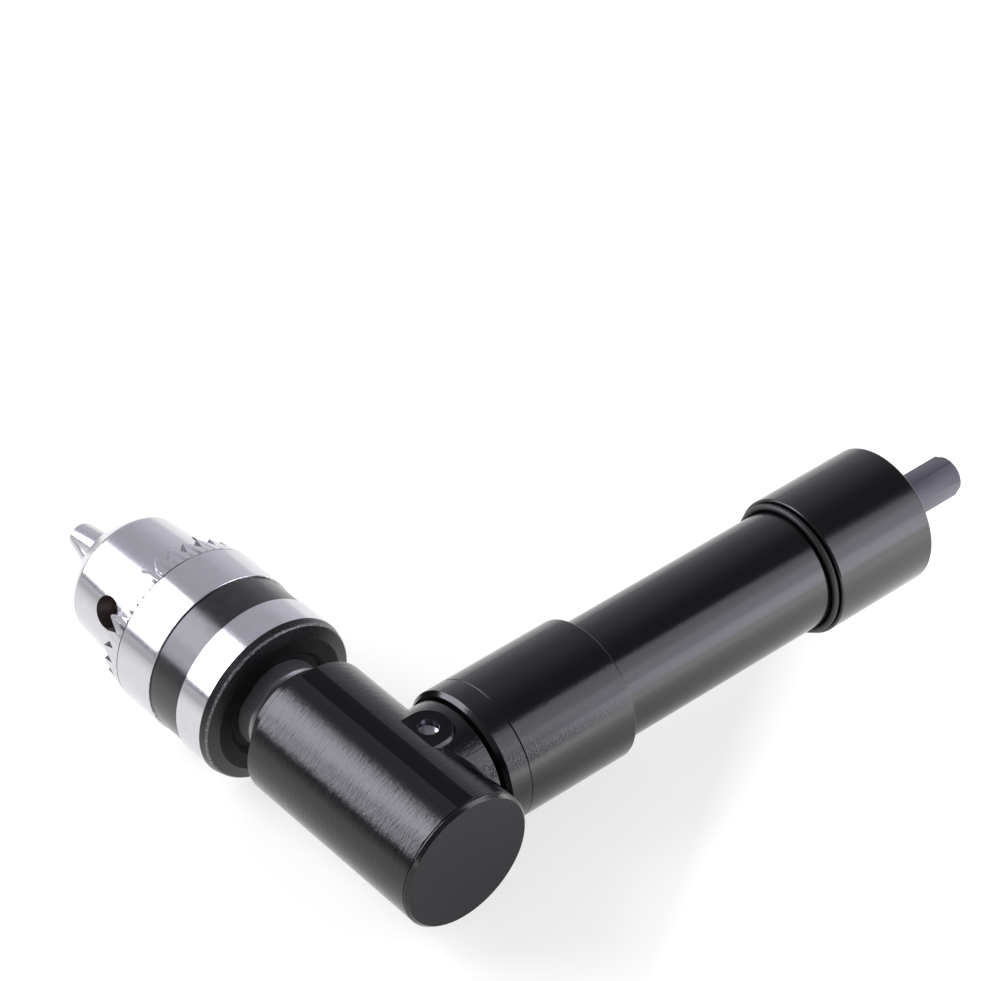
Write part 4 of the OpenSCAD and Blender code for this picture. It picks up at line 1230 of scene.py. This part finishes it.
body_mesh = lathe("chuck_body", on_spindle, body_outline, keep_normals=False)
cutters = []
for name, turn in jaw_turns.items():
    start, toward = jaw_axis(turn)
    cutters.append(drill(f"bore_{name}", start, toward, jaw_r + jaw_gap, bore_length))
for turn in key_turns:
    outward = spindle_direction(turn)
    start = outward * key_from + Vector((0.0, key_y, 0.0))
    cutters.append(drill(f"key_hole_{turn:.0f}", start, -outward, key_hole_r, key_length, key_point))
body_mesh = combine(body_mesh, cutters, "DIFFERENCE")
restore_normals(body_mesh, [(on_spindle, body_outline, True)])
print("Holes in the body:", len(cutters))

# %% [markdown]
# The body is one piece with six finishes. The finish of each face follows from where it lies: the
# rule reads the centre of the face, and near the mouth also its direction, because the wall of a
# key hole lies as far out as the polished nose.

# %% Chuck body


def body_finish(centre, normal):
    """0 polished, 1 band, 2 rear bevel, 3 inside of the holes, 4 recess, 5 worn edge with painted glints.
    """
    radius = math.hypot(centre.x, centre.z)
    if centre.y < 33.5 and radius > 16.0:
        return 5
    if centre.y < bevel_end - 0.05:
        return 2 if radius > 14.1 else 4
    if band_start + 0.02 < centre.y < band_end + 0.1 and radius > 16.0:
        return 1
    on_outline = radius > 12.9 or centre.y > 72.0
    outward = normal.x * centre.x + normal.z * centre.z
    if centre.y > rim_lip_at - 0.2 and on_outline and (outward > 0.2 * radius or normal.y > 0.5):
        return 0
    return 0 if radius > 16.4 else 3


place_piece(
    "chuck_body_piece", body_mesh, "spindle",
    [chuck_steel, band_oxide, back_oxide, hole_steel, recess_oxide, worn_and_glint_oxide],
    ["chuck_body"], rule=body_finish,
)
print("Chuck body faces:", len(body_mesh.polygons))

# %% [markdown]
# The sleeve repeats itself: thirty teeth stand around its rim, one every twelve degrees. That is
# work for Geometry Nodes. A single sector is worked out point by point, from the middle of one
# tooth to the middle of the next: a V cut that falls outwards, with softened edges. The node tree
# copies the sector around the spindle axis, welds the copies and gives ring and rim a finish.

# %% One sector of the sleeve
tooth_count = 30
tooth_turn = 4.3
sleeve_start = 49.55
rim_start = 59.05
rim_tip_r = 16.1
rim_lip_r = 14.07
journal_r = 15.07
depth_out = 3.0
depth_in = 1.8
floor_rounding = 0.06
edge_rounding = 0.1
groove_depth = 0.16
gap_slope = math.tan(math.radians(26))
rim_taper = (chuck_r - rim_tip_r) / (tooth_tip - rim_start)
gap_fall = (depth_out - depth_in) / (rim_tip_r - rim_lip_r)
half_pitch = math.pi / tooth_count


def gap_floor(distance):
    """Height of the V's floor at a distance from the axis."""
    return tooth_tip - depth_in - gap_fall * (distance - rim_lip_r)


def gap_point(distance, share):
    """Turn and height on the rim's top; share runs from the V's floor over its edge to the tooth."""
    edge = (tooth_tip - gap_floor(distance)) * gap_slope
    edge_turn = math.asin(edge / distance)
    if share <= 1.0:
        turn = math.asin(share * edge / distance)
    else:
        turn = edge_turn + (half_pitch - edge_turn) * (share - 1.0)
    offset = distance * math.sin(turn)
    flank = gap_floor(distance) + math.sqrt(offset ** 2 + floor_rounding ** 2) / gap_slope
    height = (flank + tooth_tip - math.sqrt((flank - tooth_tip) ** 2 + edge_rounding ** 2)) / 2
    return turn, height


def rim_edge(share):
    """Where a column of the rim's top meets the outer cone."""
    distance = rim_tip_r
    for _ in range(30):
        turn, height = gap_point(distance, share)
        distance = chuck_r - (height - rim_start) * rim_taper
    return distance, turn, height


def eased(first, corner, last, steps=4):
    """A soft corner as a short curve."""
    return [
        first * (1 - t) ** 2 + corner * 2 * t * (1 - t) + last * t ** 2
        for t in (step / steps for step in range(steps + 1))
    ]


def sector_column(share):
    """One column of the sector as rows of radius, place and turn."""
    outer_r, outer_turn, outer_y = rim_edge(share)
    inner_turn, inner_y = gap_point(rim_lip_r, share)
    soft = 0.09
    inner = np.array([rim_lip_r, inner_y, inner_turn])
    outer = np.array([outer_r, outer_y, outer_turn])
    across = (outer - inner) / (outer_r - rim_lip_r)
    down = np.array([rim_taper, -1.0, 0.0])
    rows = [np.array([journal_r, rim_lip_at, inner_turn]), np.array([rim_lip_r, rim_lip_at, inner_turn])]
    rows += eased(inner - np.array([0.0, soft, 0.0]), inner, inner + across * soft)
    rows += eased(outer - across * soft, outer, outer + down * soft)
    seam = [(0.03, 0.12), (0.05, 0.09), (groove_depth, 0.08), (groove_depth, -0.06), (0.04, -0.09),
            (0.01, -0.14), (0.0, -0.22)]
    rear_edge = [(0.0, 0.2), (0.02, 0.1), (0.07, 0.03), (0.16, 0.0)]
    for base, steps in ((rim_start, seam), (sleeve_start, rear_edge)):
        for inset, shift in steps:
            rows.append(np.array([chuck_r - inset, base + shift, outer_turn]))
    rows.append(np.array([journal_r, sleeve_start, inner_turn]))
    return np.array(rows)


print("Half a pitch in degrees:", math.degrees(half_pitch))

# %% [markdown]
# The columns of the sector stand close where the surface bends, at the V's floor and at its edges,
# and far apart where it is flat. Half of the sector is worked out, and the other half is its mirror
# image.

# %% Mesh of the sector
shares = [0.0, 0.05, 0.12, 0.3, 0.6, 0.82, 0.92, 0.97, 1.0, 1.04, 1.1, 1.25, 1.6, 2.0]
half = [sector_column(share) for share in shares]
columns = []
for grid in half[::-1]:
    mirrored = grid.copy()
    mirrored[:, 2] = -mirrored[:, 2]
    columns.append(mirrored)
columns += half[1:]
sector = np.array(columns)
sector[:, :, 2] += math.radians(tooth_turn) + half_pitch
sector_points = on_spindle(sector[:, :, 0], sector[:, :, 1], sector[:, :, 2]).reshape(-1, 3)
row_count = sector.shape[1]
sector_faces = []
for column in range(len(columns) - 1):
    for row in range(row_count):
        after = (row + 1) % row_count
        low = column * row_count
        high = low + row_count
        sector_faces.append((low + row, high + row, high + after, low + after))
sector_mesh = bpy.data.meshes.new("sleeve_sector")
sector_mesh.from_pydata([tuple(point) for point in sector_points], [], sector_faces)
sector_mesh.update()
print("Sector columns and rows:", len(columns), row_count)

# %% [markdown]
# A Geometry Nodes tree is a small graph as well, and it is built in the script like a shader. Its
# inputs have names, so that one tree serves with any count and any size. The tree is run on a mesh
# once, and the result is kept as a plain mesh.

# %% Helpers for node trees


def new_tree(name):
    """An empty Geometry Nodes tree that takes and gives a geometry."""
    tree = bpy.data.node_groups.new(name, "GeometryNodeTree")
    tree.interface.new_socket("Geometry", in_out="INPUT", socket_type="NodeSocketGeometry")
    tree.interface.new_socket("Geometry", in_out="OUTPUT", socket_type="NodeSocketGeometry")
    return tree, tree.nodes.new("NodeGroupInput"), tree.nodes.new("NodeGroupOutput")


def tree_input(tree, name, kind):
    """A named input of a tree."""
    return tree.interface.new_socket(name, in_out="INPUT", socket_type=kind)


def run_tree(mesh, tree, values):
    """Runs a tree on a mesh and returns the result as a plain mesh."""
    holder = bpy.data.objects.new(tree.name, mesh)
    scene.collection.objects.link(holder)
    step = holder.modifiers.new("repeat", "NODES")
    step.node_group = tree
    for item in tree.interface.items_tree:
        if item.item_type == "SOCKET" and item.in_out == "INPUT" and item.name in values:
            step[item.identifier] = values[item.name]
    result = evaluated_copy(holder)
    holder.modifiers.remove(step)
    bpy.data.objects.remove(holder)
    return result


print("Tree helpers ready")

# %% [markdown]
# This tree makes a ring from a sector. It copies the sector as instances, turns each by its share
# of a full turn, makes them real and welds the seams. A selection by height then gives the rim
# another finish than the ring.

# %% Node tree that repeats a sector around an axis
repeat, start, end = new_tree("repeat_sector")
tree_input(repeat, "Count", "NodeSocketInt")
tree_input(repeat, "Rim Start", "NodeSocketFloat")
tree_input(repeat, "Ring Finish", "NodeSocketMaterial")
tree_input(repeat, "Rim Finish", "NodeSocketMaterial")
link = repeat.links.new
single = repeat.nodes.new("GeometryNodeGeometryToInstance")
copies = repeat.nodes.new("GeometryNodeDuplicateElements")
copies.domain = "INSTANCE"
pitch = repeat.nodes.new("ShaderNodeMath")
pitch.operation = "DIVIDE"
pitch.inputs[0].default_value = 2 * math.pi
turn_by = repeat.nodes.new("ShaderNodeMath")
turn_by.operation = "MULTIPLY"
about_axis = repeat.nodes.new("ShaderNodeCombineXYZ")
turn_copies = repeat.nodes.new("GeometryNodeRotateInstances")
turn_copies.inputs["Local Space"].default_value = False
realize = repeat.nodes.new("GeometryNodeRealizeInstances")
weld = repeat.nodes.new("GeometryNodeMergeByDistance")
weld.inputs["Distance"].default_value = 0.002 * mm
place_of = repeat.nodes.new("GeometryNodeInputPosition")
parts_of = repeat.nodes.new("ShaderNodeSeparateXYZ")
in_rim = repeat.nodes.new("ShaderNodeMath")
in_rim.operation = "GREATER_THAN"
ring_paint = repeat.nodes.new("GeometryNodeSetMaterial")
rim_paint = repeat.nodes.new("GeometryNodeSetMaterial")
link(start.outputs["Geometry"], single.inputs[0])
link(single.outputs[0], copies.inputs["Geometry"])
link(start.outputs["Count"], copies.inputs["Amount"])
link(start.outputs["Count"], pitch.inputs[1])
link(pitch.outputs[0], turn_by.inputs[0])
link(copies.outputs["Duplicate Index"], turn_by.inputs[1])
link(turn_by.outputs[0], about_axis.inputs["Y"])
link(copies.outputs["Geometry"], turn_copies.inputs["Instances"])
link(about_axis.outputs[0], turn_copies.inputs["Rotation"])
link(turn_copies.outputs[0], realize.inputs[0])
link(realize.outputs[0], weld.inputs["Geometry"])
link(weld.outputs[0], ring_paint.inputs["Geometry"])
link(start.outputs["Ring Finish"], ring_paint.inputs["Material"])
link(place_of.outputs[0], parts_of.inputs[0])
link(parts_of.outputs["Y"], in_rim.inputs[0])
link(start.outputs["Rim Start"], in_rim.inputs[1])
link(ring_paint.outputs[0], rim_paint.inputs["Geometry"])
link(in_rim.outputs[0], rim_paint.inputs["Selection"])
link(start.outputs["Rim Finish"], rim_paint.inputs["Material"])
link(rim_paint.outputs[0], end.inputs["Geometry"])
print("Nodes in the tree:", len(repeat.nodes))

# %% [markdown]
# The tree is run with thirty teeth. Weighted normals let the flat flanks stay flat although their edges
# are soft. The flanks get a finish of their own, and the seam groove a dark coat of painted shade, again
# by place and direction.

# %% Sleeve with its teeth
sleeve_mesh = run_tree(sector_mesh, repeat, {
    "Count": tooth_count, "Rim Start": (rim_start - 0.02) * mm,
    "Ring Finish": sleeve_steel, "Rim Finish": flank_steel,
})
welded = bmesh.new()
welded.from_mesh(sleeve_mesh)
open_edges = sum(1 for edge in welded.edges if not edge.is_manifold)
bmesh.ops.recalc_face_normals(welded, faces=welded.faces)
welded.to_mesh(sleeve_mesh)
welded.free()
smooth_all(sleeve_mesh)
sleeve_mesh = with_modifier(sleeve_mesh, "WEIGHTED_NORMAL", mode="FACE_AREA", weight=60)


def sleeve_finish(centre, normal):
    """0 polished, 1 flank of a tooth, 2 groove where ring and rim meet, darkened as painted shade."""
    radius = math.hypot(centre.x, centre.z)
    along_rim = (normal.x * centre.z - normal.z * centre.x) / radius
    if centre.y > rim_start + 0.2 and abs(along_rim) > 0.4:
        return 1
    if rim_start - 0.08 < centre.y < rim_start + 0.1 and chuck_r - 0.2 < radius < chuck_r - 0.05:
        return 2
    return 0


place_piece(
    "chuck_sleeve_piece", sleeve_mesh, "sleeve", [sleeve_steel, flank_steel, seam_shade_black],
    ["chuck_sleeve"], rule=sleeve_finish,
)
print("Sleeve faces, open edges:", len(sleeve_mesh.polygons), open_edges)

# %% [markdown]
# A jaw is a round bar ground at its front. Two flat faces meet the other jaws, and a small
# chamfer rounds off the tips. It is made as it is on the machine: a bar along the slanted axis,
# cut by the wedge that one closed jaw fills and by the turned tip. A narrow bevel along the
# cut edges gives the thin bright lines between the jaws.

# %% Jaws
wedge_gap = 0.04
wedge_reach = 34.0
wedge_start = 30.0
jaw_front = 93.0
bar_lead = 6.4
bar_length = 43.4
tip_face_r = 2.05
cone_reach = 30.0


def wedge(degrees):
    """The third of a circle that one closed jaw fills, as a prism along the spindle."""
    side_x = wedge_gap + wedge_reach * math.cos(math.radians(60))
    side_y = wedge_reach * math.sin(math.radians(60))
    outline = [
        (wedge_gap, 0.0), (side_x, side_y), (wedge_reach, side_y), (wedge_reach, -side_y),
        (side_x, -side_y),
    ]
    angle = math.radians(degrees)
    mesh = bmesh.new()
    rows = []
    for place in (wedge_start, jaw_front):
        row = []
        for x, y in outline:
            turned_x = x * math.cos(angle) - y * math.sin(angle)
            turned_y = x * math.sin(angle) + y * math.cos(angle)
            row.append(mesh.verts.new(Vector((turned_x, place, -turned_y)) * mm))
        rows.append(row)
    for step in range(len(outline)):
        after = (step + 1) % len(outline)
        mesh.faces.new((rows[0][step], rows[0][after], rows[1][after], rows[1][step]))
    mesh.faces.new(rows[0])
    mesh.faces.new(rows[1])
    return finished(mesh, "wedge")


tip_outline = [
    (0, 20.0), (cone_reach, 20.0), (cone_reach, tip_end - (cone_reach - tip_face_r)),
    (tip_face_r, tip_end), (0, tip_end),
]
for name, turn in jaw_turns.items():
    start, toward = jaw_axis(turn)
    bar = drill(name, start - toward * bar_lead, toward, jaw_r, bar_length)
    jaw_mesh = combine(bar, [
        wedge(turn), lathe("tip", on_spindle, tip_outline, closed=False, keep_normals=False),
    ], "INTERSECT")
    jaw_mesh = with_modifier(
        jaw_mesh, "BEVEL", width=0.07 * mm, segments=2, limit_method="ANGLE",
        angle_limit=math.radians(25),
    )
    restore_normals(jaw_mesh, [], sharp_degrees=35.0)
    place_piece(f"{name}_piece", jaw_mesh, name, [jaw_steel], [name])
    print(name, "faces:", len(jaw_mesh.polygons))

# %% [markdown]
# The bearing balls repeat, so a second small node tree sets smooth balls around each bearing's
# track. Nobody sees them here, but the model may be taken apart, and then they should shine.

# %% Node tree for the balls
ball_tree, start, end = new_tree("balls_on_a_track")
tree_input(ball_tree, "Balls", "NodeSocketInt")
tree_input(ball_tree, "Track Radius", "NodeSocketFloat")
tree_input(ball_tree, "Ball Radius", "NodeSocketFloat")
tree_input(ball_tree, "Centre", "NodeSocketVector")
tree_input(ball_tree, "Axis Turn", "NodeSocketVector")
tree_input(ball_tree, "Finish", "NodeSocketMaterial")
link = ball_tree.links.new
track = ball_tree.nodes.new("GeometryNodeMeshCircle")
ball = ball_tree.nodes.new("GeometryNodeMeshUVSphere")
ball.inputs["Segments"].default_value = 40
ball.inputs["Rings"].default_value = 20
on_track = ball_tree.nodes.new("GeometryNodeInstanceOnPoints")
lay = ball_tree.nodes.new("GeometryNodeTransform")
realize = ball_tree.nodes.new("GeometryNodeRealizeInstances")
smooth = ball_tree.nodes.new("GeometryNodeSetShadeSmooth")
paint = ball_tree.nodes.new("GeometryNodeSetMaterial")
link(start.outputs["Balls"], track.inputs["Vertices"])
link(start.outputs["Track Radius"], track.inputs["Radius"])
link(start.outputs["Ball Radius"], ball.inputs["Radius"])
link(track.outputs["Mesh"], on_track.inputs["Points"])
link(ball.outputs["Mesh"], on_track.inputs["Instance"])
link(on_track.outputs[0], lay.inputs["Geometry"])
link(start.outputs["Centre"], lay.inputs["Translation"])
link(start.outputs["Axis Turn"], lay.inputs["Rotation"])
link(lay.outputs[0], realize.inputs[0])
link(realize.outputs[0], smooth.inputs["Geometry"])
link(smooth.outputs[0], paint.inputs["Geometry"])
link(start.outputs["Finish"], paint.inputs["Material"])
link(paint.outputs[0], end.inputs["Geometry"])
print("Nodes in the tree:", len(ball_tree.nodes))

# %% [markdown]
# Each bearing is given by the diameters of its bore and its outside, the place of its centre and
# the turn of its axis. A circle lies flat in Blender, so the balls of the head's bearings are
# turned about X and those of the handle's about Y.

# %% Balls for the four bearings
ball_count = 7
ball_share = 0.57
quarter = math.pi / 2
bearings = {
    "front": (10.0, 22.0, (0.0, 18.5, 0.0), (-quarter, 0.0, 0.0)),
    "rear": (8.0, 22.0, (0.0, -13.437, 0.0), (-quarter, 0.0, 0.0)),
    "neck": (8.0, 19.0, (17.35, 0.0, 0.0), (0.0, quarter, 0.0)),
    "handle": (8.0, 22.0, (115.51, 0.0, 0.0), (0.0, quarter, 0.0)),
}
for name, (inner, outer, centre, axis_turn) in bearings.items():
    ball_mesh = run_tree(bpy.data.meshes.new(f"{name}_track"), ball_tree, {
        "Balls": ball_count,
        "Track Radius": (inner + outer) / 4 * mm,
        "Ball Radius": ball_share * (outer - inner) / 4 * mm,
        "Centre": tuple(value * mm for value in centre),
        "Axis Turn": axis_turn,
        "Finish": bearing_steel,
    })
    place_piece(
        f"{name}_ball_set", ball_mesh, f"{name}_race", [bearing_steel], [f"{name}_balls"]
    )
    print(name, "balls, faces:", len(ball_mesh.polygons))

# %% [markdown]
# The rest of the inside is right as it was packed: gears, rings, cages, nut and pins. These pieces
# only need their finishes, which are put into the slots that they already have.

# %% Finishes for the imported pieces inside
inside = {
    bearing_steel: [
        "front_outer_ring", "rear_outer_ring", "neck_outer_ring", "handle_outer_ring",
        "front_inner_ring", "rear_inner_ring", "neck_inner_ring", "handle_inner_ring",
    ],
    cage_brass: ["front_cage", "rear_cage", "neck_cage", "handle_cage"],
    gear_steel: ["output_gear", "input_pinion", "gear_pin", "pinion_pin"],
    nut_steel: ["nut_half_a", "nut_half_b", "chuck_screw"],
    spring_steel: [
        "neck_circlip", "shank_circlip", "spindle_circlip", "shaft_circlip_front", "shaft_circlip_rear",
    ],
}
for finish, names in inside.items():
    for name in names:
        for slot_of_node in frame["nodes"][name].material_slots:
            slot_of_node.material = finish
print("Packed pieces with a finish:", sum(len(names) for names in inside.values()))
